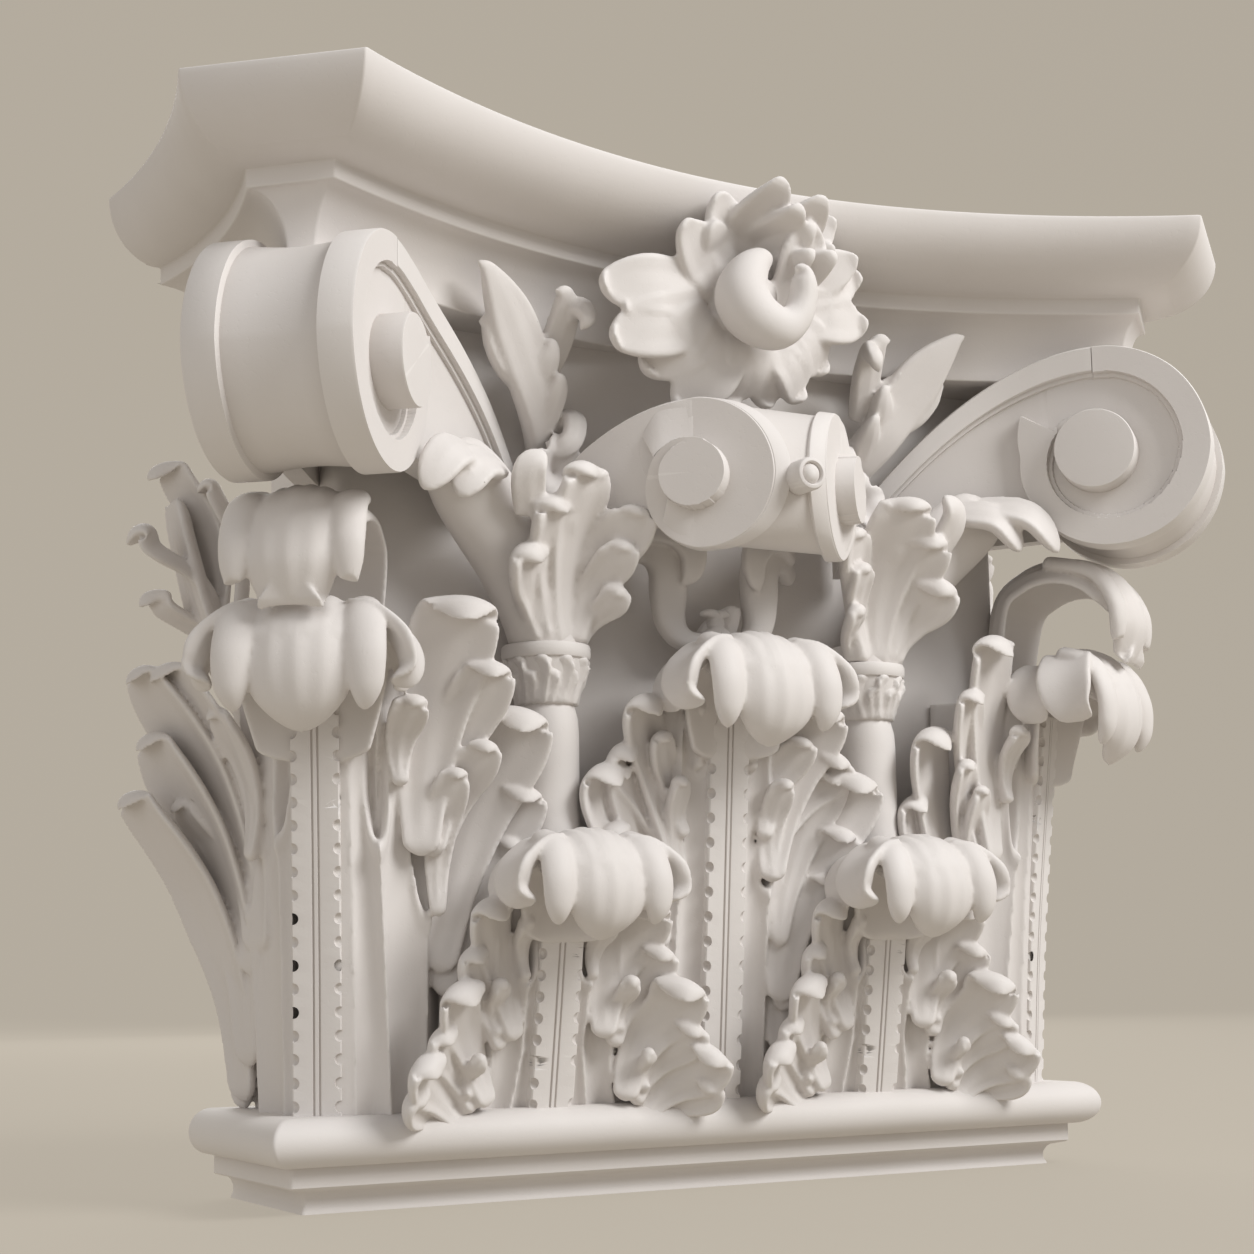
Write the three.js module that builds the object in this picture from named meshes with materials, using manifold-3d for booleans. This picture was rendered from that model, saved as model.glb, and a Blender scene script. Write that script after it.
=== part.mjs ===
// A Corinthian pilaster capital, carved as one piece. Millimetres, +Z up, front towards -Y.
// The origin is the middle of the underside, and the back is cut flat where it meets the wall.
import * as THREE from 'three';
import { mergeVertices } from 'three/addons/utils/BufferGeometryUtils.js';
import Module from 'manifold-3d';

const wasm = await Module();
wasm.setup();

// --- driving dimensions ---------------------------------------------------------------------
const SHAFT = { half: 200, front: -46.15, back: 46.15 };
const NECK_BAND = [[0, 0], [-1, 5], [1.5, 9.6], [8.1, 11.2], [8.1, 20.1]];
const TORUS = { out: 10, z: 30.4, r: 10.3 };
const BELL = { half: 184, front: -42, bottom: 30, top: 402 };

// Plan of the abacus at three heights: wall corner, side and front corners of the horn, middle of
// the hollow front, and how far the sides bow in.
const ABACUS = {
  neck: { wall: -209, side: [-231, -103], horn: [-220.5, -108.3], mid: -47, sag: 9 },
  fillet: { wall: -241, side: [-247.5, -98], horn: [-218.7, -125.9], mid: -64.5, sag: 8 },
  top: { wall: -266.6, side: [-283, -116], horn: [-222.6, -169.7], mid: -103.5, sag: 8 },
  neckZ: 396.2, coveZ: 400, filletZ: 427.3, ovoloZ: 435.5, topZ: 466.8,
};

const STEM = { x: 88, y: -57, r: 14.8, bottom: 34, top: 219 };
const VOLUTE = { x: -189, y: -122, z: 353, r: 56, turn: 41, width: 73, eye: 20, start: 318 };
const HELIX = { x: -40, y: -113, z: 320, r: 37, eye: 15.5, start: 322 };
const FLEURON = { y: -92, z: 412, bud: 15 };

// --- shape helpers --------------------------------------------------------------------------
const V = (x, y, z) => new THREE.Vector3(x, y, z);
const mix = (a, b, t) => a + (b - a) * t;
const radians = THREE.MathUtils.degToRad;
const steps = (count) => Array.from({ length: count + 1 }, (_, i) => i / count);

// A closed body through rings of points, each ring the same length, with fan caps. The fans meet
// at each end ring's middle, or at the plan point given for a hollow-sided outline.
function loft(rings, hub) {
  const n = rings[0].length;
  const positions = [];
  const index = [];
  for (const ring of rings) {
    for (const p of ring) positions.push(p.x, p.y, p.z);
  }
  for (let i = 0; i < rings.length - 1; i++) {
    for (let j = 0; j < n; j++) {
      const a = i * n + j;
      const b = i * n + (j + 1) % n;
      index.push(a, b, b + n, a, b + n, a + n);
    }
  }
  const capped = [[rings[0], 0, false], [rings[rings.length - 1], (rings.length - 1) * n, true]];
  for (const [ring, start, last] of capped) {
    const middle = ring.reduce((sum, p) => sum.add(p), V(0, 0, 0)).divideScalar(n);
    if (hub) middle.set(hub[0], hub[1], middle.z);
    const centre = positions.length / 3;
    positions.push(middle.x, middle.y, middle.z);
    for (let j = 0; j < n; j++) {
      const a = start + j;
      const b = start + (j + 1) % n;
      if (last) index.push(centre, a, b);
      else index.push(centre, b, a);
    }
  }
  const geometry = new THREE.BufferGeometry();
  geometry.setAttribute('position', new THREE.Float32BufferAttribute(positions, 3));
  geometry.setIndex(index);
  return geometry;
}

function signedVolume(positions, index) {
  let sum = 0;
  const at = (i) => V(positions[3 * i], positions[3 * i + 1], positions[3 * i + 2]);
  for (let i = 0; i < index.length; i += 3) {
    sum += at(index[i]).dot(at(index[i + 1]).cross(at(index[i + 2])));
  }
  return sum / 6;
}

function solid(geometry) {
  const plain = geometry.clone();
  plain.deleteAttribute('normal');
  plain.deleteAttribute('uv');
  const merged = mergeVertices(plain, 1e-4);
  const vertProperties = new Float32Array(merged.attributes.position.array);
  const triVerts = new Uint32Array(merged.index.array);
  if (signedVolume(vertProperties, triVerts) < 0) {
    for (let i = 0; i < triVerts.length; i += 3) {
      [triVerts[i + 1], triVerts[i + 2]] = [triVerts[i + 2], triVerts[i + 1]];
    }
  }
  return new wasm.Manifold(new wasm.Mesh({ numProp: 3, vertProperties, triVerts }));
}

const parts = [];
const add = (geometry) => parts.push(solid(geometry));

// What is modelled at the left is copied to the right.
function bothSides(build) {
  const start = parts.length;
  build();
  const made = parts.slice(start);
  for (const piece of made) parts.push(piece.mirror([1, 0, 0]));
}

// Width and thickness are listed from root to tip, evenly along the leaf.
function along(list, t) {
  const at = t * (list.length - 1);
  const i = Math.min(Math.floor(at), list.length - 2);
  return mix(list[i], list[i + 1], at - i);
}

// A leaf-like body along a curve, turned by the direction across it (side) or the way it faces.
function leafBody(points, { side, face, widths, thick, rows = 5, around = 5, cup = 0 }) {
  const curve = new THREE.CatmullRomCurve3(points.map((p) => V(...p)));
  const hint = V(...(side || face)).normalize();
  const rings = steps(rows - 1).map((t) => {
    const tangent = curve.getTangent(t);
    const wide = side ? hint.clone() : tangent.clone().cross(hint);
    wide.addScaledVector(tangent, -wide.dot(tangent)).normalize();
    const up = tangent.clone().cross(wide);
    const ring = [];
    for (let j = 0; j < around; j++) {
      const angle = (2 * Math.PI * j) / around;
      const u = Math.cos(angle);
      const lift = (along(thick, t) / 2) * Math.sin(angle) + cup * along(widths, t) * u * u;
      ring.push(curve.getPoint(t)
        .addScaledVector(wide, (along(widths, t) / 2) * u)
        .addScaledVector(up, lift));
    }
    return ring;
  });
  return loft(rings);
}

// --- neck: band, fillet and half-round torus --------------------------------------------------
function neckRing(out, z) {
  const x = SHAFT.half + out;
  const y = SHAFT.front - out;
  return [V(-x, y, z), V(x, y, z), V(x, SHAFT.back, z), V(-x, SHAFT.back, z)];
}
const torusRings = steps(6).map((t) => {
  const angle = radians(mix(-75, 90, t));
  return neckRing(TORUS.out + TORUS.r * Math.cos(angle), TORUS.z + TORUS.r * Math.sin(angle));
});
add(loft([...NECK_BAND.map(([out, z]) => neckRing(out, z)), ...torusRings]));

// --- bell: the plain block behind the leaves -----------------------------------------------------
const bellRing = (z) => [[-1, BELL.front], [1, BELL.front], [1, SHAFT.back], [-1, SHAFT.back]]
  .map(([side, y]) => V(side * BELL.half, y, z));
add(loft([bellRing(BELL.bottom), bellRing(BELL.top)]));

// --- abacus: cove, fillet and ovolo on a hollow-sided plan with cut-off horns --------------------
function abacusRing(plan, z) {
  const side = steps(4).map((t) => {
    const bow = plan.sag * 4 * t * (1 - t);
    return V(mix(plan.wall, plan.side[0], t) + bow, mix(SHAFT.back, plan.side[1], t), z);
  });
  const front = steps(7).map((t) => {
    const y = mix(plan.mid, plan.horn[1], (1 - t) ** 2);
    return V(plan.horn[0] * (1 - t), y, z);
  });
  const left = [...side, ...front];
  const right = left.slice(0, -1).reverse().map((p) => V(-p.x, p.y, p.z));
  return [...left, ...right];
}
const planBetween = (a, b, t) => ({
  wall: mix(a.wall, b.wall, t),
  side: [0, 1].map((i) => mix(a.side[i], b.side[i], t)),
  horn: [0, 1].map((i) => mix(a.horn[i], b.horn[i], t)),
  mid: mix(a.mid, b.mid, t),
  sag: mix(a.sag, b.sag, t),
});
const coveRings = steps(4).map((t) => {
  const angle = radians(90 * t);
  const plan = planBetween(ABACUS.neck, ABACUS.fillet, 1 - Math.cos(angle));
  return abacusRing(plan, mix(ABACUS.coveZ, ABACUS.filletZ, Math.sin(angle)));
});
const ovoloRings = steps(5).map((t) => {
  const angle = radians(90 * t);
  const plan = planBetween(ABACUS.fillet, ABACUS.top, Math.sin(angle));
  return abacusRing(plan, mix(ABACUS.ovoloZ, ABACUS.topZ, 1 - Math.cos(angle)));
});
add(loft([abacusRing(ABACUS.neck, ABACUS.neckZ), ...coveRings, ...ovoloRings], [0, 20]));

// --- acanthus leaves --------------------------------------------------------------------------
// Each leaf is set out from its own foot: u across the leaf, v out from the bell, z up.
function leafFrame(x, y, turn = 0) {
  const a = radians(turn);
  const across = [Math.cos(a), Math.sin(a), 0];
  const out = [Math.sin(a), -Math.cos(a), 0];
  const at = ([u, v, z]) => [x + across[0] * u + out[0] * v, y + across[1] * u + out[1] * v, z];
  return { across, out, at };
}

// The sheet of a leaf, in rows of height, half width and how far it stands out.
function leafSheet(place, rows) {
  const root = -12;
  const fall = 7;
  add(loft(rows.map(([z, half, out]) => [
    [-half, root], [-half, out - fall], [-half * 0.7, out],
    [half * 0.7, out], [half, out - fall], [half, root],
  ].map(([u, v]) => V(...place.at([u, v, z]))))));
}

function midrib(place, half, rows) {
  add(loft(rows.map(([z, out]) => [[-half, -5], [-half, 3], [half, 3], [half, -5]]
    .map(([u, v]) => V(...place.at([u, out + v, z]))))));
}

// A lobe rises steeply from its foot, rolls forwards and ends at its tip.
function lobe(place, { foot, tip, width, roll = 10, face, thick = 11, rows = 4 }) {
  const path = [[0, 0, 0, 0], [0.3, 0.25, 0.62, 0.5], [0.65, 0.7, 0.97, 1], [1, 1, 1, 0]]
    .map(([tu, tv, tz, rolled]) => place.at([
      mix(foot[0], tip[0], tu), mix(foot[1], tip[1], tv) + roll * rolled, mix(foot[2], tip[2], tz),
    ]));
  add(leafBody(path, {
    face, rows, widths: [width * 0.8, width, width, width * 0.35],
    thick: [thick * 0.9, thick, thick, thick * 0.5],
  }));
}

// The lobes of a leaf come in pairs: foot, tip and width of the one on the right.
function lobePairs(place, lobes) {
  for (const [foot, tip, width] of lobes) {
    for (const s of [1, -1]) {
      const face = [0, 1, 2].map((i) => place.out[i] + 0.35 * s * place.across[i]);
      lobe(place, { foot: [s * foot[0], foot[1], foot[2]], tip: [s * tip[0], tip[1], tip[2]], width, face });
    }
  }
}

// The tip of a leaf turns over on an arc: where it leaves the leaf, its top, reach and drop.
function curl(place, { v, z, top, reach, drop, width, tuck = -50, thick = 11 }) {
  const arc = [150, 110, 70, 30, -10, tuck].map(radians).map((angle) => [
    0, v + 3 + (reach / 2) * (1 + Math.cos(angle)), top - drop + drop * Math.sin(angle),
  ]);
  add(leafBody([[0, v, z], ...arc].map(place.at), {
    side: place.across, rows: 8, around: 6, cup: -0.05,
    widths: [0.82, 0.92, 1, 0.98, 0.87, 0.7, 0.28].map((share) => share * width),
    thick: [0.9, 0.9, 0.9, 1, 1.1, 1, 0.45].map((share) => share * thick),
  }));
}

// The folded lobes that roll round at each side of a curled tip.
function sideRolls(place, { u, v, z, size }) {
  const fold = [[0.7, -8, 9], [1, -2, 6], [1.04, 2, -6], [0.85, -2, -15]];
  for (const s of [1, -1]) {
    const path = fold.map(([share, dv, dz]) => place.at([s * u * share, v + dv, z + dz]));
    add(leafBody(path, {
      side: place.out, rows: 4,
      widths: [size, size * 1.2, size, size * 0.4], thick: [12, 14, 12, 5],
    }));
  }
}

function centreLeaf() {
  const place = leafFrame(0, BELL.front);
  leafSheet(place, [[34, 32, 18], [110, 30, 22], [160, 46, 25], [200, 44, 27], [226, 34, 30]]);
  midrib(place, 11, [[34, 20], [120, 24], [190, 28], [215, 32]]);
  curl(place, { v: 26, z: 196, top: 250, reach: 48, drop: 26, width: 72 });
  sideRolls(place, { u: 38, v: 44, z: 232, size: 22 });
  lobePairs(place, [
    [[34, 18, 130], [60, 26, 213], 28], [[46, 14, 150], [70, 22, 194], 18],
    [[34, 16, 84], [79, 26, 179], 30], [[50, 12, 110], [80, 20, 151], 18],
  ]);
}

function smallLeaf() {
  const place = leafFrame(-STEM.x, BELL.front);
  leafSheet(place, [[34, 62, 20], [60, 56, 24], [95, 42, 27], [142, 28, 32]]);
  midrib(place, 10, [[34, 24], [80, 28], [125, 31]]);
  curl(place, { v: 28, z: 112, top: 158, reach: 46, drop: 23, width: 66 });
  sideRolls(place, { u: 31, v: 46, z: 140, size: 20 });
  lobePairs(place, [
    [[24, 26, 70], [47, 38, 119], 24], [[34, 24, 60], [57, 33, 98], 17],
    [[38, 22, 40], [68, 38, 87], 24], [[56, 18, 34], [82, 28, 56], 20],
  ]);
}

// The corner leaf wraps the corner: one half lies on the front, the other on the return.
function cornerLeaf() {
  const place = leafFrame(-181, -25, -30);
  const wrap = [[34, 0], [110, 2], [160, 5], [205, 9]];
  add(loft(wrap.map(([z, out]) => [
    [-150, BELL.front + 6], [-150, -56 - out], [-172, -62 - out], [-192 - out / 2, -62 - out],
    [-208 - out, BELL.front], [-208 - out, 30], [-204 - out, SHAFT.back - 1], [-180, SHAFT.back - 1],
  ].map(([x, y]) => V(x, y, z)))));
  midrib(place, 11, [[34, 22], [120, 26], [190, 32], [215, 38]]);
  curl(place, { v: 30, z: 190, top: 254, reach: 48, drop: 29, width: 72 });
  sideRolls(place, { u: 38, v: 48, z: 236, size: 24 });
  const front = leafFrame(VOLUTE.x, BELL.front);
  for (const [foot, tip, width] of [
    [[29, 14, 140], [41, 50, 257], 31], [[43, 12, 160], [49, 48, 233], 20],
    [[37, 10, 90], [88, 34, 208], 33], [[51, 6, 96], [88, 24, 173], 27],
  ]) lobe(front, { foot, tip, width, roll: 0, face: [0.25, -1, 0] });
  const flank = leafFrame(-BELL.half, 20, -90);
  for (const [foot, tip, width] of [
    [[6, 20, 150], [-2, 72, 240], 34], [[2, 20, 120], [-2, 66, 208], 32], [[-4, 20, 80], [-8, 74, 181], 36],
  ]) lobe(flank, { foot, tip, width, roll: -6, face: [-1, -0.2, 0] });
}

// A second, plainer leaf rises behind and turns over under the corner volute.
function cornerHusk() {
  const place = leafFrame(-182, -30, -33);
  curl(place, { v: 8, z: 200, top: 303, reach: 72, drop: 32, width: 58, tuck: -30 });
  const side = [[24, 38, 296], [31, 52, 297], [33, 62, 290], [30, 66, 281]];
  for (const s of [1, -1]) {
    add(leafBody(side.map(([u, v, z]) => place.at([s * u, v, z])), {
      side: place.out, rows: 4, widths: [22, 24, 20, 7], thick: [9, 10, 9, 5],
    }));
  }
}

// The plain leaf on the return, next to the wall.
function returnLeaf() {
  const place = leafFrame(-BELL.half, 33, -90);
  const face = [-1, 0, 0];
  for (const [foot, tip, width, thick] of [
    [[0, -2, 212], [-8, 52, 334], 30, 18], [[5, 9, 236], [4, 68, 300], 26, 11],
    [[-7, 11, 222], [-10, 58, 274], 20, 11],
  ]) lobe(place, { foot, tip, width, thick, roll: -4, face });
}

// --- caulicoles: stem, collar and calyx ---------------------------------------------------------
const STEM_PROFILE = [
  [0, STEM.bottom], [STEM.r, STEM.bottom], [STEM.r, STEM.top - 4], [STEM.r - 3, STEM.top],
  [15.5, STEM.top + 1], [18.2, STEM.top + 9], [18.8, STEM.top + 20], [20.4, STEM.top + 21],
  [20.4, STEM.top + 26], [17, STEM.top + 28], [0, STEM.top + 28],
];
// The swelling above the collar, in rows of height over it, half width, half depth and lean.
const CALYX = [[26, 17, 15, 0, 0], [40, 22, 19, 0, -3], [58, 27, 20, -3, -5], [74, 28, 16, -8, -4],
  [84, 22, 8, -12, 0]];

function caulicole() {
  const turned = new THREE.LatheGeometry(STEM_PROFILE.map(([r, z]) => new THREE.Vector2(r, z)), 8);
  add(turned.rotateX(Math.PI / 2).translate(-STEM.x, STEM.y, 0));
  add(loft(CALYX.map(([up, halfWide, halfDeep, dx, dy]) => steps(8).slice(0, 8).map((t) => {
    const angle = 2 * Math.PI * t;
    const x = dx - STEM.x + halfWide * Math.cos(angle);
    return V(x, STEM.y + dy + halfDeep * Math.sin(angle), STEM.top + up);
  }))));
  const place = leafFrame(-STEM.x, STEM.y);
  const face = [-0.2, -1, 0];
  for (const [foot, tip, width, thick] of [
    [[2, 9, 248], [-3, 49, 319], 26, 9], [[10, 7, 250], [28, 43, 304], 19, 9],
    [[14, 5, 250], [30, 33, 290], 15, 8], [[-8, 9, 254], [-15, 39, 302], 20, 9],
    [[-12, -1, 256], [-59, 9, 324], 30, 15], [[-16, 3, 290], [-24, 19, 330], 19, 10],
    [[-30, -5, 292], [-88, 50, 300], 22, 12],
  ]) lobe(place, { foot, tip, width, thick, roll: 0, face });
}

// --- volutes and helices -------------------------------------------------------------------------
// A scroll lies in an upright sheet that follows a curve in plan: a along it, z up, d out of it.
function scrollSheet(planPoints, hand = 1) {
  const curve = new THREE.CatmullRomCurve3(planPoints.map(([x, y]) => V(x, y, 0)));
  const length = curve.getLength();
  const at = (a, z, d) => {
    const t = THREE.MathUtils.clamp(a / length, 0, 1);
    const tangent = curve.getTangentAt(t);
    const p = curve.getPointAt(t).addScaledVector(tangent, a - t * length);
    return V(p.x + tangent.y * d * hand, p.y - tangent.x * d * hand, z);
  };
  return { length, at };
}

function scrollTop(scroll, a) {
  if (a >= scroll.a) return scroll.z + Math.sqrt(Math.max(0, scroll.r ** 2 - (a - scroll.a) ** 2));
  const climb = Math.sin((Math.PI / 2) * (a / scroll.a)) ** 0.9;
  return mix(scroll.start, scroll.z + scroll.r, climb);
}

function scrollBottom(scroll, a, top) {
  const turnIn = scroll.a - scroll.r * 0.6;
  if (a < turnIn) return Math.min(mix(scroll.start - 14, scroll.z - scroll.r * 0.72, a / turnIn), top - 3);
  const reach = Math.sqrt(Math.max(0, (scroll.r * 0.9) ** 2 - (a - scroll.a) ** 2));
  return Math.min(scroll.z - Math.max(reach, 2), top - 3);
}

// The flat field of a scroll, between two depths.
function scrollField(sheet, scroll, d0, d1) {
  const strap = steps(6).map((t) => 0.92 * t * scroll.a);
  const round = steps(5).map((t) => scroll.a + scroll.r * 0.99 * Math.sin(radians(8 + 82 * t)));
  add(loft([...strap, ...round].map((a) => {
    const top = scrollTop(scroll, a) - 1;
    const bottom = scrollBottom(scroll, a, top);
    return [sheet.at(a, bottom, d0), sheet.at(a, bottom, d1), sheet.at(a, top, d1), sheet.at(a, top, d0)];
  })));
}

// The raised band along its edge, up the strap and round the spiral.
function scrollBand(sheet, scroll, d0, d1) {
  const strap = [0, 0.25, 0.5, 0.75].map((t) => {
    const a = t * scroll.a;
    return [a, scrollTop(scroll, a), scroll.band];
  });
  const spiral = steps(15).map((t) => {
    const turns = scroll.turns * t;
    const r = scroll.r * Math.exp(-scroll.tight * turns);
    const angle = Math.PI / 2 - 2 * Math.PI * turns;
    const width = mix(1, 0.55, t) * scroll.band;
    return [scroll.a + r * Math.cos(angle), scroll.z + r * Math.sin(angle), width];
  });
  const rim = [...strap, ...spiral];
  add(loft(rim.map(([a, z, width], i) => {
    const before = rim[Math.max(i - 1, 0)];
    const after = rim[Math.min(i + 1, rim.length - 1)];
    const run = Math.hypot(after[0] - before[0], after[1] - before[1]) / width;
    const inA = a + (after[1] - before[1]) / run;
    const inZ = z - (after[0] - before[0]) / run;
    return [sheet.at(a, z, d0), sheet.at(a, z, d1), sheet.at(inA, inZ, d1), sheet.at(inA, inZ, d0)];
  })));
}

function disc(centre, normal, radius, back, front, segments) {
  const cylinder = new THREE.CylinderGeometry(radius, radius, front - back, segments);
  cylinder.translate(0, (front + back) / 2, 0);
  const turn = new THREE.Quaternion().setFromUnitVectors(V(0, 1, 0), normal);
  add(cylinder.applyQuaternion(turn).translate(centre.x, centre.y, centre.z));
}

function cornerVolute() {
  const a = radians(VOLUTE.turn);
  const heading = V(-Math.sin(a), -Math.cos(a), 0);
  const out = V(Math.cos(a), -Math.sin(a), 0);
  const centre = V(VOLUTE.x, VOLUTE.y, VOLUTE.z);
  const back = centre.clone().addScaledVector(out, -VOLUTE.width);
  const reach = (from, distance) => [from.x + heading.x * distance, from.y + heading.y * distance];
  const scroll = { r: VOLUTE.r, z: VOLUTE.z, start: VOLUTE.start, band: 12, tight: 0.36, turns: 1.3 };
  const wall = { depth: -16, field: -4, band: 0 };
  const strap = [[-90, -40], [-118, -62], [-154, -86]];
  const face = scrollSheet([...strap, reach(centre, 0), reach(centre, VOLUTE.r)], -1);
  const flank = scrollSheet([[-170, 12], reach(back, -VOLUTE.r), reach(back, 0), reach(back, VOLUTE.r)]);
  for (const [sheet, start] of [[face, VOLUTE.start], [flank, 372]]) {
    const own = { ...scroll, start, a: sheet.length - VOLUTE.r };
    scrollField(sheet, own, wall.depth, wall.field);
    scrollBand(sheet, own, wall.depth, wall.band);
  }
  disc(centre, out, VOLUTE.r - 5, 6 - VOLUTE.width, -6, 20);
  disc(centre.clone().setZ(VOLUTE.z - 2), out, VOLUTE.eye, -VOLUTE.width - 15, 9, 12);
}

// The two helices meet at the middle in a drum with a small ringed boss.
function helixScroll() {
  const h = Math.SQRT1_2;
  const reach = (distance) => [HELIX.x + h * distance, HELIX.y - h * distance];
  const sheet = scrollSheet([[-86, -52], reach(-HELIX.r), reach(0), reach(HELIX.r - 2)]);
  const scroll = { r: HELIX.r, z: HELIX.z, start: HELIX.start, a: sheet.length - HELIX.r + 2 };
  scrollField(sheet, scroll, -10, 0);
  disc(V(HELIX.x - 2, HELIX.y + 2, HELIX.z - 4), V(-h, -h, 0), HELIX.eye, -2, 9, 14);
}

function helixDrum() {
  const h = Math.SQRT1_2;
  add(loft(steps(10).map((t) => {
    const reach = HELIX.r * Math.cos(Math.PI * t) * 0.97;
    const x = HELIX.x + 3 + h * h * reach;
    const y = HELIX.y - h * reach;
    const lift = Math.sqrt(Math.max(4, (HELIX.r - 2) ** 2 - (h * reach) ** 2));
    return [[x, -lift], [-x, -lift], [-x, lift], [x, lift]].map(([px, up]) => V(px, y, HELIX.z + up));
  })));
  disc(V(0, -134, HELIX.z - 2), V(0, -1, 0), 7.6, 0, 14, 10);
}

// --- fleuron on the abacus ------------------------------------------------------------------------
// Tip and width of each petal, round from the top.
const PETALS = [
  [11, -128, 463, 44], [-33, -108, 449, 46], [-78, -100, 396, 48], [-45, -92, 364, 46],
  [4, -90, 362, 36], [40, -92, 376, 38], [65, -98, 420, 42], [52, -104, 447, 40], [20, -124, 442, 34],
];
function fleuron() {
  const { y: hubY, z: hubZ, bud } = FLEURON;
  for (const [x, y, z, width] of PETALS) {
    const point = (t, lift) => [x * t, mix(hubY, y, t) - lift, mix(hubZ, z, t)];
    add(leafBody([[0, BELL.front - 4, hubZ], point(0.3, 2), point(0.7, 7), point(1, 0)], {
      face: [0.05, -1, 0.1], around: 6,
      widths: [0.5, 0.7, 1, 1, 0.45].map((share) => share * width), thick: [14, 12, 11, 10, 6],
    }));
  }
  const swell = [[-74, 0.55], [-94, 0.8], [-106, 1], [-114, 0.93], [-122, 0.53]];
  add(loft(swell.map(([y, share]) => steps(8).slice(0, 8).map((t) => {
    const angle = 2 * Math.PI * t;
    return V(bud * share * Math.cos(angle), y, hubZ - 6 + bud * share * Math.sin(angle));
  }))));
}

// --- small leaves and tendrils between the scrolls --------------------------------------------------
function sprig() {
  const place = leafFrame(-STEM.x, BELL.front);
  for (const [foot, tip, width] of [
    [[2, -2, 336], [-24, 30, 396], 24], [[-16, 20, 374], [-44, 46, 419], 20],
    [[-16, 18, 378], [-41, 36, 397], 16], [[-8, 18, 360], [11, 38, 400], 18],
    [[0, 4, 330], [2, 22, 345], 24],
  ]) lobe(place, { foot, tip, width, roll: 4, face: [0, -1, 0] });
}

// A tendril leaves its start and hooks round an eye.
function tendrils() {
  const depth = -63;
  for (const { start, eye, r, from, to, width } of [
    { start: [-72, 268], eye: [-46, 288], r: 14, from: 130, to: -50, width: 14 },
    { start: [-34, 300], eye: [-17, 272], r: 14, from: 190, to: 330, width: 14 },
    { start: [-30, 248], eye: [-16, 262], r: 11, from: 230, to: 350, width: 18 },
  ]) {
    const arc = steps(3).map((t) => {
      const angle = radians(mix(from, to, t));
      return [eye[0] + r * Math.cos(angle), depth, eye[1] + r * Math.sin(angle)];
    });
    const root = [start[0], BELL.front - 2, start[1]];
    add(leafBody([root, ...arc], {
      face: [0, -1, 0], rows: 5, widths: [width * 0.85, width, width, width * 0.5], thick: [10, 11, 11, 6],
    }));
  }
}

// --- put together -------------------------------------------------------------------------------------
centreLeaf();
helixDrum();
fleuron();
for (const build of [
  smallLeaf, cornerLeaf, cornerHusk, returnLeaf, caulicole, cornerVolute, helixScroll, sprig, tendrils,
]) bothSides(build);

// Everything is joined, then cut off flat where the block meets the wall.
let body = parts[0];
for (const part of parts.slice(1)) body = body.add(part);
const room = { wide: 800, deep: 400, high: 600 };
const wall = new THREE.BoxGeometry(room.wide, room.deep, room.high);
body = body.subtract(solid(wall.translate(0, SHAFT.back + room.deep / 2, room.high / 2)));
const whole = body.decompose().sort((a, b) => b.volume() - a.volume())[0];
const merged = 1.1; // faces that lie this close to one another become one
const mesh = whole.asOriginal().simplify(merged).getMesh();

const geometry = new THREE.BufferGeometry();
geometry.setAttribute('position', new THREE.Float32BufferAttribute(mesh.vertProperties, 3));
geometry.setIndex(new THREE.Uint32BufferAttribute(mesh.triVerts, 1));
geometry.computeVertexNormals();
const castStone = new THREE.MeshStandardMaterial({ color: 0xd6d0ca, roughness: 0.85, metalness: 0 });
const capital = new THREE.Mesh(geometry, castStone);
capital.name = 'capital';
const group = new THREE.Group();
group.add(capital);

export default group;
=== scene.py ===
# A Corinthian pilaster capital in pale cast stone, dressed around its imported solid.
import math

import bmesh
import bpy
import numpy as np
from mathutils import Matrix, Vector


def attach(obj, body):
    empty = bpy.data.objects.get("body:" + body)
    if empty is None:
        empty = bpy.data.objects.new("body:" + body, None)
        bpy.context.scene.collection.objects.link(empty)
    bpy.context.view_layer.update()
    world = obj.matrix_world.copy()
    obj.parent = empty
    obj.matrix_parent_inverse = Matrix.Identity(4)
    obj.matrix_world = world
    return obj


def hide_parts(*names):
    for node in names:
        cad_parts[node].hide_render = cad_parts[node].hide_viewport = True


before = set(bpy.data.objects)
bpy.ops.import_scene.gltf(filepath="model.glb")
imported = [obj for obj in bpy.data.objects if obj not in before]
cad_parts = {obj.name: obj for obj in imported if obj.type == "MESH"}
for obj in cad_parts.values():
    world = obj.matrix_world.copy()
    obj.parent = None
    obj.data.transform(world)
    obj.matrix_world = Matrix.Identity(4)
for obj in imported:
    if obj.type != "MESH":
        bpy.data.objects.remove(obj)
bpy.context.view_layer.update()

# --- Camera, soft light and floor ---
# A viewer stands a metre off the left corner, a little below the middle of the capital. One large
# soft light stands to the front right, and the floor and the wall behind are one pale sheet.
scene = bpy.context.scene
scene.view_settings.view_transform = "Standard"
camera = bpy.data.objects.new("camera", bpy.data.cameras.new("camera"))
scene.collection.objects.link(camera)
LENS = 62.79  # millimetres, on a sensor 36 mm wide
EYE_POINT = (-0.53423, -0.94372, 0.09883)
camera.data.lens = LENS
camera.data.sensor_width = 36
to_right = Vector((0.87677, -0.48067, -0.01546))
to_top = Vector((-0.06165, -0.14422, 0.98762))
turn = Matrix((to_right, to_top, to_right.cross(to_top))).transposed()
camera.matrix_world = Matrix.Translation(EYE_POINT) @ turn.to_4x4()
scene.camera = camera

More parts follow.
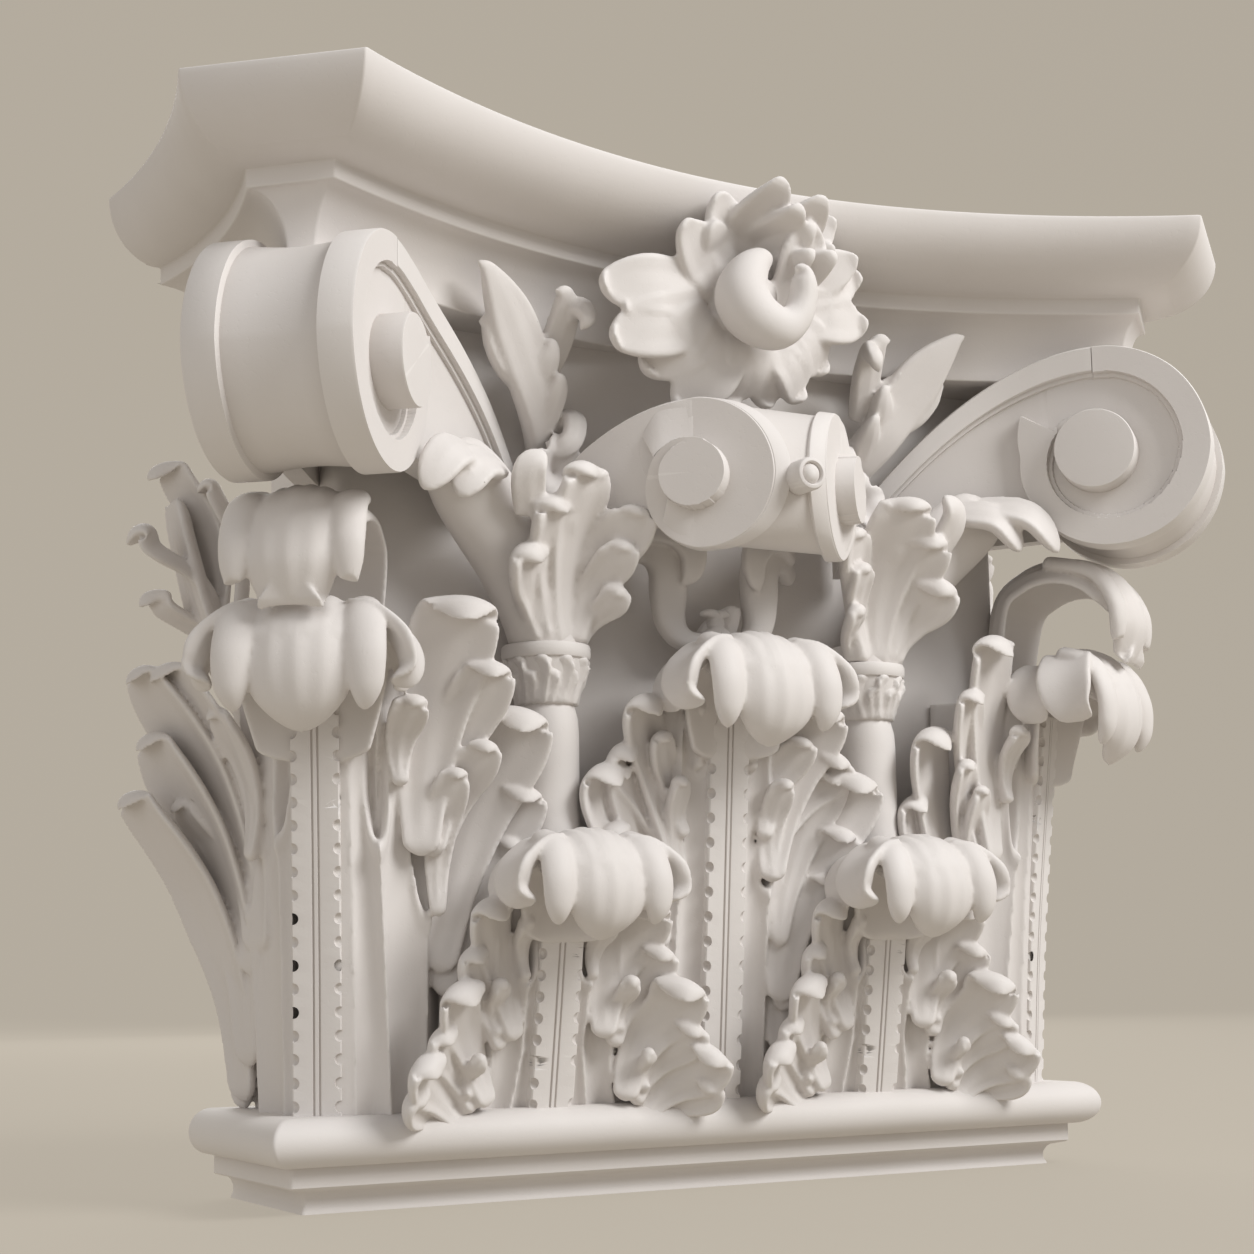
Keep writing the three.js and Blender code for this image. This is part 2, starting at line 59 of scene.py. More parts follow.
LAMPS = {
    "key": {"place": (1.15, -1.7, 1.75), "size": 1.2, "power": 58},
    "left_fill": {"place": (-2.4, -1.0, 0.9), "size": 2.2, "power": 9},
    "back_fill": {"place": (0.8, 2.4, 1.6), "size": 2.4, "power": 40},
}
LAMP_AIM = (0, 0, 0.25)
for name, lamp in LAMPS.items():
    light = bpy.data.lights.new(name, "AREA")
    light.size = lamp["size"]
    light.energy = lamp["power"]
    holder = bpy.data.objects.new(name, light)
    scene.collection.objects.link(holder)
    holder.location = lamp["place"]
    aim = Vector(LAMP_AIM) - holder.location
    holder.rotation_euler = aim.to_track_quat("-Z", "Y").to_euler()

SKY = (0.47, 0.46, 0.46, 1)
BACKDROP = (0.462, 0.418, 0.352, 1)
sky = bpy.data.worlds.new("studio")
scene.world = sky
sky.use_nodes = True
sky.node_tree.nodes["Background"].inputs["Color"].default_value = SKY
sky.node_tree.nodes["Background"].inputs["Strength"].default_value = 0.95

# The sheet lies flat under the stone and sweeps up behind it.
SHEET = {"front": -9.0, "bend": 3.0, "radius": 2.5, "top": 12.0, "half": 14.0}
sweep = [(SHEET["front"], 0.0), (SHEET["bend"], 0.0)]
for a in np.linspace(0.1, math.pi / 2, 16):
    sweep.append((SHEET["bend"] + SHEET["radius"] * math.sin(a),
                  SHEET["radius"] - SHEET["radius"] * math.cos(a)))
sweep.append((SHEET["bend"] + SHEET["radius"], SHEET["top"]))
sheet_points = [(x, y, z) for y, z in sweep for x in (-SHEET["half"], SHEET["half"])]
sheet_faces = [(2 * i, 2 * i + 1, 2 * i + 3, 2 * i + 2) for i in range(len(sweep) - 1)]
floor_mesh = bpy.data.meshes.new("floor")
floor_mesh.from_pydata(sheet_points, [], sheet_faces)
floor_mesh.shade_smooth()
floor = bpy.data.objects.new("floor", floor_mesh)
scene.collection.objects.link(floor)
paper = bpy.data.materials.new("floor_paper")
paper.use_nodes = True
paper_shader = paper.node_tree.nodes["Principled BSDF"]
paper_shader.inputs["Base Color"].default_value = (0.13, 0.118, 0.10, 1)
paper_shader.inputs["Roughness"].default_value = 1.0
paper_shader.inputs["Specular IOR Level"].default_value = 0.0
paper_shader.inputs["Emission Color"].default_value = BACKDROP
paper_shader.inputs["Emission Strength"].default_value = 0.84
floor_mesh.materials.append(paper)


# --- Neck: band, fillet and half-round torus ---
# The lowest courses of the block, run round the front and both returns and cut off square at the
# wall. They are cast with the rest in a fine stone mix and rubbed smooth.
MM = 0.001  # every size below is in millimetres
WALL = 46.15
SHAFT_HALF = 200
CREASE = 40  # degrees: mouldings stay crisp where they turn more than this


class Socket:
    """An output in a material's node tree; arithmetic on sockets adds Math nodes."""

    def __init__(self, tree, out=None):
        self.tree = tree
        self.out = out

    def node(self, kind, settings, inputs, output=0):
        made = self.tree.nodes.new(kind)
        for key, value in settings.items():
            if key == "stops":
                ramp = made.color_ramp
                while len(ramp.elements) < len(value):
                    ramp.elements.new(0.5)
                for stop, (place, colour) in zip(ramp.elements, value):
                    stop.position = place
                    stop.color = colour
            else:
                setattr(made, key, value)
        for key, value in inputs.items():
            if isinstance(value, Socket):
                self.tree.links.new(value.out, made.inputs[key])
            else:
                made.inputs[key].default_value = value
        return Socket(self.tree, made.outputs[output])

    def math(self, operation, first, second):
        return self.node("ShaderNodeMath", {"operation": operation}, {0: first, 1: second})

    def __add__(self, other):
        return self.math("ADD", self, other)

    def __sub__(self, other):
        return self.math("SUBTRACT", self, other)

    def __rsub__(self, other):
        return self.math("SUBTRACT", other, self)

    def __mul__(self, other):
        return self.math("MULTIPLY", self, other)

    __radd__ = __add__
    __rmul__ = __mul__


PALE = (0.70, 0.668, 0.645, 1)
WARM = (0.65, 0.615, 0.588, 1)
# Painted shade colour, laid into the hollows of the stone where shade falls.
HOLLOW_SHADE = (0.42, 0.375, 0.335, 1)
# Painted highlight colour, laid onto the arrises of the stone.
EDGE_HIGHLIGHT = (0.80, 0.775, 0.75, 1)


def cast_stone(name):
    """Fine pale stone: faint clouds, pin pores, painted shade in hollows, painted highlight on arrises."""
    material = bpy.data.materials.new(name)
    material.use_nodes = True
    tree = material.node_tree
    start = Socket(tree)
    place = start.node("ShaderNodeTexCoord", {}, {}, "Object")

    def noise(scale, detail, rough=0.5):
        return start.node("ShaderNodeTexNoise", {}, {
            "Vector": place, "Scale": scale, "Detail": detail, "Roughness": rough})

    def ramp(value, black, white):
        stops = sorted([(black, (0, 0, 0, 1)), (white, (1, 1, 1, 1))])
        return start.node("ShaderNodeValToRGB", {"stops": stops}, {"Fac": value})

    def blend(share, low, high):
        return start.node("ShaderNodeMix", {"data_type": "RGBA"}, {
            "Factor": share, 6: low, 7: high}, 2)

    clouds = noise(14, 4)
    grain = noise(520, 3, 0.6)
    point = start.node("ShaderNodeNewGeometry", {}, {}, "Pointiness")
    hollow = ramp(point, 0.495, 0.40)
    arris = ramp(point, 0.515, 0.60)
    body = blend(clouds * 1.6 - 0.35, PALE, WARM)
    # Painted shade: hollows, where pointiness is low, are darkened in the base colour as if shade lay in them.
    shaded_colour = blend(hollow * 0.55, body, HOLLOW_SHADE)
    # Painted highlight: arrises, where pointiness is high, are lightened in the base colour as if light caught
    # them.
    highlighted_colour = blend(arris * 0.45, shaded_colour, EDGE_HIGHLIGHT)
    pits = ramp(grain, 0.30, 0.42)
    bump = start.node("ShaderNodeBump", {}, {
        "Strength": 0.10, "Distance": 0.0004, "Height": pits + noise(160, 4) * 0.8})
    shader = tree.nodes["Principled BSDF"]
    tree.links.new(highlighted_colour.out, shader.inputs["Base Color"])
    roughness = clouds * 0.18 + 0.52
    tree.links.new((roughness + hollow * 0.15).out, shader.inputs["Roughness"])
    tree.links.new(bump.out, shader.inputs["Normal"])
    shader.inputs["Specular IOR Level"].default_value = 0.35
    return material


def smooth(x):
    x = np.clip(x, 0, 1)
    return x * x * (3 - 2 * x)


def spline(points, count):
    """Points evenly spread along a smooth curve through the given ones."""
    points = np.asarray(points, float)
    flat = points.ndim == 1
    if flat:
        points = points[:, None]
    padded = np.vstack([2 * points[0] - points[1], points, 2 * points[-1] - points[-2]])
    t = np.linspace(0, len(points) - 1, count)
    i = np.minimum(t.astype(int), len(points) - 2)
    f = (t - i)[:, None]
    a, b, c, d = (padded[i + k] for k in range(4))
    curve = 0.5 * (2 * b + (c - a) * f + (2 * a - 5 * b + 4 * c - d) * f**2
                   + (3 * b - a - 3 * c + d) * f**3)
    return curve[:, 0] if flat else curve


def run_along(line):
    """How far along a line of points each of them lies."""
    return np.r_[0, np.cumsum(np.linalg.norm(np.diff(line, axis=0), axis=1))]


class Clay:
    """Closed skins gathered for one piece, in millimetres."""

    def __init__(self):
        self.points = []
        self.faces = []
        self.count = 0

    def rings(self, rings, hub=None):
        """A skin through rings of points, closed by a fan at each end."""
        rings = np.asarray(rings, float)
        rows, around = rings.shape[:2]
        i, j = np.meshgrid(np.arange(rows - 1), np.arange(around), indexing="ij")
        after = (j + 1) % around
        quads = np.stack([i * around + j, i * around + after, (i + 1) * around + after,
                          (i + 1) * around + j], -1).reshape(-1, 4) + self.count
        ends = [rings[0].mean(0), rings[-1].mean(0)]
        if hub is not None:
            ends = [np.array([*hub, end[2]]) for end in ends]
        self.points += [rings.reshape(-1, 3), np.array(ends)]
        self.faces += quads.tolist()
        first = self.count + rows * around
        last = self.count + (rows - 1) * around
        for k in range(around):
            self.faces.append([first, self.count + (k + 1) % around, self.count + k])
            self.faces.append([first + 1, last + k, last + (k + 1) % around])
        self.count += rows * around + 2

    def sweep(self, path, widths, depth, face=None, side=None, cup=0.0, veins=0, groove=0.7,
              outer=False, rows=36, around=24, tip=0.14, full=0.75):
        """A leaf-like body along a path. It is wide across the path and faces one way, or has
        its width along side; cup lifts its edges towards the face; veins groove one surface."""
        dense = spline(path, 600)
        run = run_along(dense)
        even = np.linspace(0, run[-1], rows)
        centre = np.stack([np.interp(even, run, dense[:, k]) for k in range(3)], -1)
        ahead = np.gradient(centre, axis=0)
        ahead /= np.linalg.norm(ahead, axis=1)[:, None]
        if side is None:
            chord = centre[-1] - centre[0]
            wide = np.cross(ahead + 0.6 * chord / np.linalg.norm(chord), np.asarray(face, float))
        else:
            wide = np.asarray(side, float) - (ahead @ np.asarray(side, float))[:, None] * ahead
        wide /= np.linalg.norm(wide, axis=1)[:, None]
        up = np.cross(wide, ahead)
        t = np.linspace(0, 1, rows)
        end = np.clip((t - 1 + tip) / tip, 0, 0.995)
        start = np.clip((0.05 - t) / 0.05, 0, 0.97)
        taper = np.sqrt(1 - end**2) * np.sqrt(1 - start**2)
        half = np.maximum(spline(widths, rows), 0.4) / 2 * taper
        deep = np.maximum(spline(np.atleast_1d(depth) if np.ndim(depth) else [depth] * 2, rows),
                          0.4) / 2 * taper
        angle = np.linspace(0, 2 * math.pi, around, endpoint=False)
        c, s = np.cos(angle), np.sin(angle)
        bulge = np.sign(s) * np.abs(s) ** full
        lift = cup * 2 * half[:, None] * c**2 + deep[:, None] * bulge
        if veins:
            shown = np.maximum(-s if outer else s, 0) ** 0.5
            cut = groove * (0.5 - 0.5 * np.cos(math.pi * veins * (c + 1)))
            fade = smooth(t / 0.15) * smooth((1 - t) / 0.35)
            lift -= (-1 if outer else 1) * fade[:, None] * cut * shown
        self.rings(centre[:, None] + wide[:, None] * (half[:, None] * c)[..., None]
                   + up[:, None] * lift[..., None])

    def mirrored(self):
        other = Clay()
        other.points = [points * (-1, 1, 1) for points in self.points]
        other.faces = [face[::-1] for face in self.faces]
        other.count = self.count
        return other

    def into(self, name, material):
        """The gathered skins as they are, as one object."""
        mesh = bpy.data.meshes.new(name)
        points = np.vstack(self.points)
        points[:, 1] = np.minimum(points[:, 1], WALL)
        mesh.from_pydata((points * MM).tolist(), [], self.faces)
        tidy = bmesh.new()
        tidy.from_mesh(mesh)
        bmesh.ops.remove_doubles(tidy, verts=tidy.verts, dist=0.02 * MM)
        bmesh.ops.recalc_face_normals(tidy, faces=tidy.faces)
        tidy.to_mesh(mesh)
        tidy.free()
        mesh.materials.append(material)
        thing = bpy.data.objects.new(name, mesh)
        scene.collection.objects.link(thing)
        return thing


def settled(thing, modifiers, crease=None):
    """The same object with its modifiers worked into the mesh."""
    for kind, settings in modifiers:
        modifier = thing.modifiers.new(kind, kind)
        for key, value in settings.items():
            setattr(modifier, key, value)
    graph = bpy.context.evaluated_depsgraph_get()
    mesh = bpy.data.meshes.new_from_object(thing.evaluated_get(graph))
    thing.modifiers.clear()
    thing.data = mesh
    mesh.shade_smooth()
    if crease:
        mesh.set_sharp_from_angle(angle=math.radians(crease))
    return thing


def rubbed_arris(width, segments, angle):
    """The modifier that takes the sharpness off an edge turning more than the angle."""
    return ("BEVEL", {"width": width * MM, "segments": segments, "limit_method": "ANGLE",
                      "angle_limit": angle})


def square_ring(out, z, corner=1.6, steps=5):
    """One level of the neck: square to the wall, with slightly rubbed front corners."""
    x = SHAFT_HALF + out
    turned = [(x - corner + corner * math.cos(a), -WALL - out + corner - corner * math.sin(a))
              for a in np.linspace(0, math.pi / 2, steps)]
    right = [(x, WALL), *turned]
    return [(px, py, z) for px, py in right] + [(-px, py, z) for px, py in reversed(right)]


BAND = [(0, 0), (0, 0.6), (-1.2, 3), (-1, 6), (0.2, 8.4), (1.5, 9.6), (7.2, 11.0), (8.1, 11.8),
        (8.1, 20.1)]
TORUS = {"out": 10, "z": 30.4, "r": 10.3}
neck = Clay()
round_edge = [math.radians(a) for a in np.linspace(-80, 90, 22)]
neck.rings([square_ring(out, z) for out, z in BAND] + [
    square_ring(TORUS["out"] + TORUS["r"] * math.cos(a), TORUS["z"] + TORUS["r"] * math.sin(a))
    for a in round_edge])
neck_stone = cast_stone("neck_stone")


def belongs(*pieces):
    """Each piece stands on the root body, for the one solid, in the one stone."""
    for piece in pieces:
        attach(piece, "root")
        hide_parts("capital")


belongs(settled(neck.into("neck_mouldings", neck_stone), [], CREASE))

# --- Bell: the plain drum behind the leaves ---
# A flat-faced block with eased corners, as deep as the wall leaves it. It is all one casting with
# the leaves in front of it.
BELL = {"half": 184, "front": -42, "bottom": 38, "top": 397, "corner": 5}


def bell_ring(z):
    corner = BELL["corner"]
    turned = [(BELL["half"] - corner + corner * math.cos(a),
               BELL["front"] + corner - corner * math.sin(a))
              for a in np.linspace(0, math.pi / 2, 7)]
    right = [(BELL["half"], WALL), *turned]
    return [(x, y, z) for x, y in right] + [(-x, y, z) for x, y in reversed(right)]


bell = Clay()
bell.rings([bell_ring(z) for z in np.linspace(BELL["bottom"], BELL["top"], 12)])
belongs(settled(bell.into("bell", cast_stone("bell_stone")), [], CREASE))

# --- Abacus ---
# The top slab: a cove, a fillet and a big ovolo run on one plan that is hollow in front, bows in at
# the returns and has its horns cut off. Fine arrises are left sharp and only rubbed.
ABACUS = {
    "neck": {"wall": 209, "side": (231, -103), "horn": (220.5, -108.3), "mid": -47, "sag": 9},
    "fillet": {"wall": 241, "side": (247.5, -98), "horn": (218.7, -125.9), "mid": -64.5, "sag": 8},
    "top": {"wall": 266.6, "side": (283, -116), "horn": (222.6, -169.7), "mid": -103.5, "sag": 8},
    "levels": {"neck": 396.2, "cove": 400, "fillet": 427.3, "ovolo": 435.5, "top": 466.8},
}


def abacus_ring(low, high, share, z):
    def plan(key):
        return np.array(ABACUS[low][key], float) * (1 - share) + np.array(ABACUS[high][key]) * share

    t = np.linspace(0, 1, 15)[:, None]
    side = (1 - t) * [plan("wall"), WALL] + t * plan("side")
    side[:, 0] -= plan("sag") * (4 * t * (1 - t))[:, 0]
    u = np.linspace(0, 1, 40)
    front_y = plan("mid") + (plan("horn")[1] - plan("mid")) * (1 - u) ** 2
    front = np.stack([plan("horn")[0] * (1 - u), front_y], -1)
    right = np.vstack([side, front])
    both = np.vstack([right, (right * (-1, 1))[-2::-1]])
    return np.hstack([both, np.full((len(both), 1), z)])


abacus = Clay()
levels = ABACUS["levels"]
courses = [abacus_ring("neck", "fillet", 0, levels["neck"])]
for a in np.linspace(0, math.pi / 2, 14):
    rise = levels["cove"] + (levels["fillet"] - levels["cove"]) * math.sin(a)
    courses.append(abacus_ring("neck", "fillet", 1 - math.cos(a), rise))
for a in np.linspace(0, math.pi / 2, 18):
    rise = levels["ovolo"] + (levels["top"] - levels["ovolo"]) * (1 - math.cos(a))
    courses.append(abacus_ring("fillet", "top", math.sin(a), rise))
abacus.rings(courses, hub=(0, 20))
belongs(settled(abacus.into("abacus", cast_stone("abacus_stone")),
                [rubbed_arris(0.9, 3, 0.5)], CREASE))


# --- Small acanthus leaves ---
# Two low leaves stand before the caulicoles, cast with the bell. Each has a drilled midrib, pipes
# that fall from eyes between its lobes, and a tip that arches over in a ribbed hood with ears.
class Setting:
    """Where a leaf stands: u across it, v out from the bell, z up."""

    def __init__(self, x, y, turn=0):
        a = math.radians(turn)
        self.foot = np.array([x, y, 0.0])
        self.across = np.array([math.cos(a), math.sin(a), 0])
        self.out = np.array([math.sin(a), -math.cos(a), 0])

    def at(self, uvz):
        uvz = np.asarray(uvz, float)
        return (self.foot + uvz[..., :1] * self.across + uvz[..., 1:2] * self.out
                + uvz[..., 2:] * [0, 0, 1])


def sheet(clay, setting, rows, relief, across=60, up=90):
    """The body of a leaf on the bell: rows of height, half width and stand-off, with relief."""
    heights, halves, offs = (np.array(column, float) for column in zip(*rows))
    z = np.linspace(heights[0], heights[-1], up)
    half = np.interp(z, heights, halves)
    off = np.interp(z, heights, offs)
    p = np.linspace(-1, 1, across)
    u = half[:, None] * p
    z2 = np.broadcast_to(z[:, None], u.shape)
    v = off[:, None] + relief(u, z2)
    edge = np.clip((1 - np.abs(p)) / 0.10, 0, 1) ** 0.5
    v = -3 + (v + 3) * edge
    front = np.stack([u, v, z2], -1)
    back = np.stack([u, np.full_like(u, -4.0), z2], -1)[:, ::-1]
    clay.rings(setting.at(np.concatenate([front, back], 1)))


def flutes(u, z, lines, dip=4.5, crest=0.8):
    """Hollow pipes up a leaf between named lines of (z, u) points, meeting in thin crests."""
    places = [np.interp(z, *map(np.array, zip(*line))) for line in lines]
    height = 0.0 * u
    for low, high in zip(places[:-1], places[1:]):
        span = np.maximum(high - low, 0.1)
        f = (u - low) / span
        inside = (f >= 0) & (f <= 1)
        height -= np.where(inside, dip * np.sin(math.pi * np.clip(f, 0, 1)) ** 0.85
                           * np.clip(span / 12, 0.3, 1), 0)
    for place in places[1:-1]:
        height += crest * np.exp(-(((u - place) / 1.1) ** 2))
    return height


def eye(u, z, place, size, depth=9.0, rim=2.0):
    """A long drop-shaped hollow, pointed below, with a thin raised lip round its lower end."""
    du, dz = (u - place[0]) / size[0], (z - place[1]) / size[1]
    width = np.clip((dz + 1) / 1.1, 0.02, 1) ** 0.6
    reach = np.abs(du) / width
    inside = 1 / (1 + np.exp((reach - 0.9) * 12)) * np.clip((dz + 1) * 8, 0, 1)
    away = np.sqrt(du**2 + np.where(dz < 0, (dz / 1.08) ** 2, 0))
    lip = rim * np.exp(-(((away - 1.12) / 0.2) ** 2)) * np.clip(0.6 - dz, 0, 1)
    return lip - depth * inside * np.clip(1.6 - dz, 0, 1)


def finger(clay, setting, foot, tip, width, hook=8, belly=5, depth=6.5, cup=0.13, veins=2,
           groove=0.9, tilt=26, shape=(0.45, 0.6, 0.78, 0.96, 1.14, 1.2, 1.05)):
    """A leaflet: it rises from its foot, leans out, and its cupped end curls forward and down."""
    foot, tip = np.array(foot, float), np.array(tip, float)
    away = np.sign(tip[0] - foot[0]) or 1.0
    path = []
    for t in (0, 0.25, 0.5, 0.75):
        u = foot[0] + (tip[0] - foot[0]) * 1.02 * (t / 0.75) ** 1.2
        v = foot[1] + (tip[1] - hook * 0.6 - foot[1]) * (t / 0.75) ** 1.5
        v -= belly * math.sin(math.pi * t / 0.75)
        z = foot[2] + (tip[2] - hook * 0.8 - foot[2]) * (1 - (1 - t / 0.75) ** 1.15)
        path.append((u, v, z))
    path += [tip + [away * hook * 0.1, -hook * 0.2, -hook * 0.05],
             tip + [0, hook * 0.35, -hook * 0.1],
             tip + [-away * hook * 0.15, hook * 0.75, -hook * 0.7]]
    lean = math.atan2(abs(tip[0] - foot[0]), max(tip[2] - foot[2], 1))
    wide = setting.across * math.cos(lean) - np.array([0, 0, 1]) * away * math.sin(lean)
    wide = wide * math.cos(math.radians(tilt)) + setting.out * away * math.sin(math.radians(tilt))
    clay.sweep(setting.at(np.array(path)), width * np.array(shape), depth * np.array(
        [1.0, 1.0, 1.0, 1.0, 1.05, 1.1, 0.9]), side=wide, cup=cup, veins=veins, groove=groove,
        rows=64, around=40, tip=0.3)


def both_sides(clay, setting, fingers):
    """A leaf's leaflets, each with its twin across the midrib."""
    for foot, tip, width, hook in fingers:
        for side in (1, -1):
            finger(clay, setting, np.array(foot) * (side, 1, 1), np.array(tip) * (side, 1, 1),
                   width, hook)


def hood(clay, setting, v, z, top, reach, drop, width, tuck=-62, tongue=0.62, depth=8.0,
         ears=True):
    """The end of a leaf, arching forwards: a ribbed back, a round tongue, a shoulder on each
    side of it and an ear that rolls down at each edge."""
    def arc(u, degrees, scale=1.0, lift=0.0):
        a = math.radians(degrees)
        return (u, v + 3 + scale * reach / 2 * (1 + math.cos(a)),
                top - drop + lift + drop * math.sin(a))

    back = [(0, v, z), (0, v + 1, (z + top - drop) / 2 + 4)] + [arc(0, d) for d in (155, 120, 90,
                                                                                    60, 30, 0)]
    clay.sweep(setting.at(np.array(back)), width * np.array([0.66, 0.8, 0.92, 1.0, 1.0, 0.97, 0.9,
                                                             0.8]),
               depth * 1.1, side=setting.across, cup=0.2, veins=9, groove=1.2, outer=True, rows=70,
               around=90, tip=0.12, full=0.6)
    front = [arc(0, d) for d in (100, 60, 30, 0, -30, tuck)]
    clay.sweep(setting.at(np.array(front)), width * tongue * np.array([0.9, 1.0, 1.04, 1.05, 1.0,
                                                                       0.9]),
               depth * np.array([1, 1.1, 1.1, 1.1, 1.05, 0.8]), side=setting.across, cup=0.13,
               veins=4,
               groove=0.8, outer=True, rows=60, around=60, tip=0.36, full=0.65)
    for side in (1, -1):
        wing = [arc(side * width * s, d, 0.97) for s, d in
                ((0.34, 95), (0.37, 50), (0.395, 15), (0.40, -15), (0.385, tuck * 0.62))]
        clay.sweep(setting.at(np.array(wing)), width * np.array([0.2, 0.25, 0.26, 0.23, 0.16]),
                   depth * 0.95, side=setting.across, cup=0.1, rows=40, around=28, tip=0.22)
        if not ears:
            continue
        ear = [(side * width * s, v + 3 + reach * g, top - drop * k) for s, g, k in
               ((0.26, 0.50, 0.16), (0.42, 0.56, 0.26), (0.58, 0.62, 0.62), (0.62, 0.72, 1.0),
                (0.54, 0.84, 1.2))]
        clay.sweep(setting.at(np.array(ear)), reach * np.array([0.42, 0.52, 0.56, 0.52, 0.36]),
                   depth * np.array([1, 1, 1.1, 1.1, 0.8]), side=setting.out, cup=0.16 * side,
                   veins=3,
                   groove=0.9, outer=side > 0, rows=44, around=36, tip=0.4)
        curl = [(side * width * s, v + 3 + reach * g, top - drop * k) for s, g, k in
                ((0.30, 0.22, 0.26), (0.46, 0.20, 0.5), (0.55, 0.24, 0.9), (0.52, 0.36, 1.2))]
        clay.sweep(setting.at(np.array(curl)), reach * np.array([0.34, 0.44, 0.46, 0.34]),
                   depth * np.array([0.9, 1, 1, 0.8]), side=setting.out, cup=0.14 * side, veins=2,
                   outer=side > 0, rows=36, around=30, tip=0.4)


def cast(clay, name, material, grain=0.95, soften=3, keep=0.3):
    """Fuse overlapping skins into one cast skin with soft inner corners."""
    thing = settled(clay.into(name, material), [
        ("REMESH", {"mode": "VOXEL", "voxel_size": grain * MM, "use_smooth_shade": True}),
        ("SMOOTH", {"factor": 0.5, "iterations": soften}),
        ("DECIMATE", {"ratio": keep}),
    ])
    thing.data.materials.clear()
    thing.data.materials.append(material)
    return thing


RIB_HALF = 10.5


def midrib(name, setting, line, pitch, material, half=RIB_HALF, first=8.0):
    """The drilled panel up the middle of a leaf: two fine grooves, and pits along both edges."""
    profile = [(0, 1.0), (0.7, 1.0), (0.95, 0.1), (1.5, 0.1), (1.8, 0.9), (2.6, 1.0),
               (half - 0.5, 1.0), (half, 0.5), (half, -15)]
    section = profile + [(-u, d) for u, d in profile[:0:-1]]
    path = spline(line, 60)
    panel = Clay()
    panel.rings([setting.at(np.array([(u, v + d, z) for u, d in section])) for z, v in path])
    thing = panel.into(name, material)

    tree = bpy.data.node_groups.new(name + "_pits", "GeometryNodeTree")
    tree.is_modifier = True
    face = tree.interface
    face.new_socket("Geometry", in_out="OUTPUT", socket_type="NodeSocketGeometry")
    face.new_socket("Geometry", in_out="INPUT", socket_type="NodeSocketGeometry")
    sizes = {"Pitch": pitch * MM, "Pit Radius": 2.6 * MM}
    rows = {}
    for side, word in ((-1, "Left"), (1, "Right")):
        marks = [path[int(len(path) * share)] for share in (0.04, 0.5, 0.97)]
        for (z, v), end in zip(marks, ("Foot", "Middle", "Head")):
            rows[f"{word} {end}"] = setting.at(np.array([side * (half - 0.4), v + 0.9, z])) * MM
    sockets = {}
    for key, value in {**sizes, **rows}.items():
        kind = "NodeSocketFloat" if key in sizes else "NodeSocketVector"
        sockets[key] = face.new_socket(key, in_out="INPUT", socket_type=kind)
    make = tree.nodes.new
    link = tree.links.new
    given, result = make("NodeGroupInput"), make("NodeGroupOutput")
    cutters = make("GeometryNodeJoinGeometry")
    ball = make("GeometryNodeMeshIcoSphere")
    ball.inputs["Subdivisions"].default_value = 3
    link(given.outputs["Pit Radius"], ball.inputs["Radius"])
    for word in ("Left", "Right"):
        curve = make("GeometryNodeCurveQuadraticBezier")
        for socket, end in (("Start", "Foot"), ("Middle", "Middle"), ("End", "Head")):
            link(given.outputs[f"{word} {end}"], curve.inputs[socket])
        spaced = make("GeometryNodeCurveToPoints")
        spaced.mode = "LENGTH"
        link(curve.outputs[0], spaced.inputs["Curve"])
        link(given.outputs["Pitch"], spaced.inputs["Length"])
        placed = make("GeometryNodeInstanceOnPoints")
        link(spaced.outputs[0], placed.inputs["Points"])
        link(ball.outputs[0], placed.inputs["Instance"])
        link(placed.outputs[0], cutters.inputs[0])
    real = make("GeometryNodeRealizeInstances")
    cut = make("GeometryNodeMeshBoolean")
    cut.operation = "DIFFERENCE"
    painted = make("GeometryNodeSetMaterial")
    painted.inputs["Material"].default_value = material
    link(cutters.outputs[0], real.inputs[0])
    link(given.outputs["Geometry"], cut.inputs["Mesh 1"])
    link(real.outputs[0], cut.inputs["Mesh 2"])
    link(cut.outputs[0], painted.inputs["Geometry"])
    link(painted.outputs[0], result.inputs[0])
    modifier = thing.modifiers.new("pits", "NODES")
    modifier.node_group = tree
    for key, value in {**sizes, **rows}.items():
        modifier[sockets[key].identifier] = value if key in sizes else list(value)
    return settled(thing, [], 38)


SMALL_X = 88
SMALL_ROWS = [(39, 60, 13), (52, 57, 16), (70, 50, 19), (95, 40, 25), (125, 31, 29), (143, 26, 32)]
SMALL_LINES = [[(36, 9), (140, 9)], [(36, 19.5), (66, 15), (92, 15.5), (140, 16)],
               [(36, 34.5), (56, 29), (70, 30), (140, 31)],
               [(36, 51), (42, 47), (50, 44), (140, 45)],
               [(36, 62), (50, 58), (70, 52), (95, 46), (140, 46)]]


def small_relief(u, z):
    side = np.abs(u)
    height = flutes(side, z, SMALL_LINES)
    height += eye(side, z, (15.5, 104), (4.0, 9)) + eye(side, z, (30, 82), (4.2, 10))
    return height + eye(side, z, (43.5, 55), (3.6, 7))


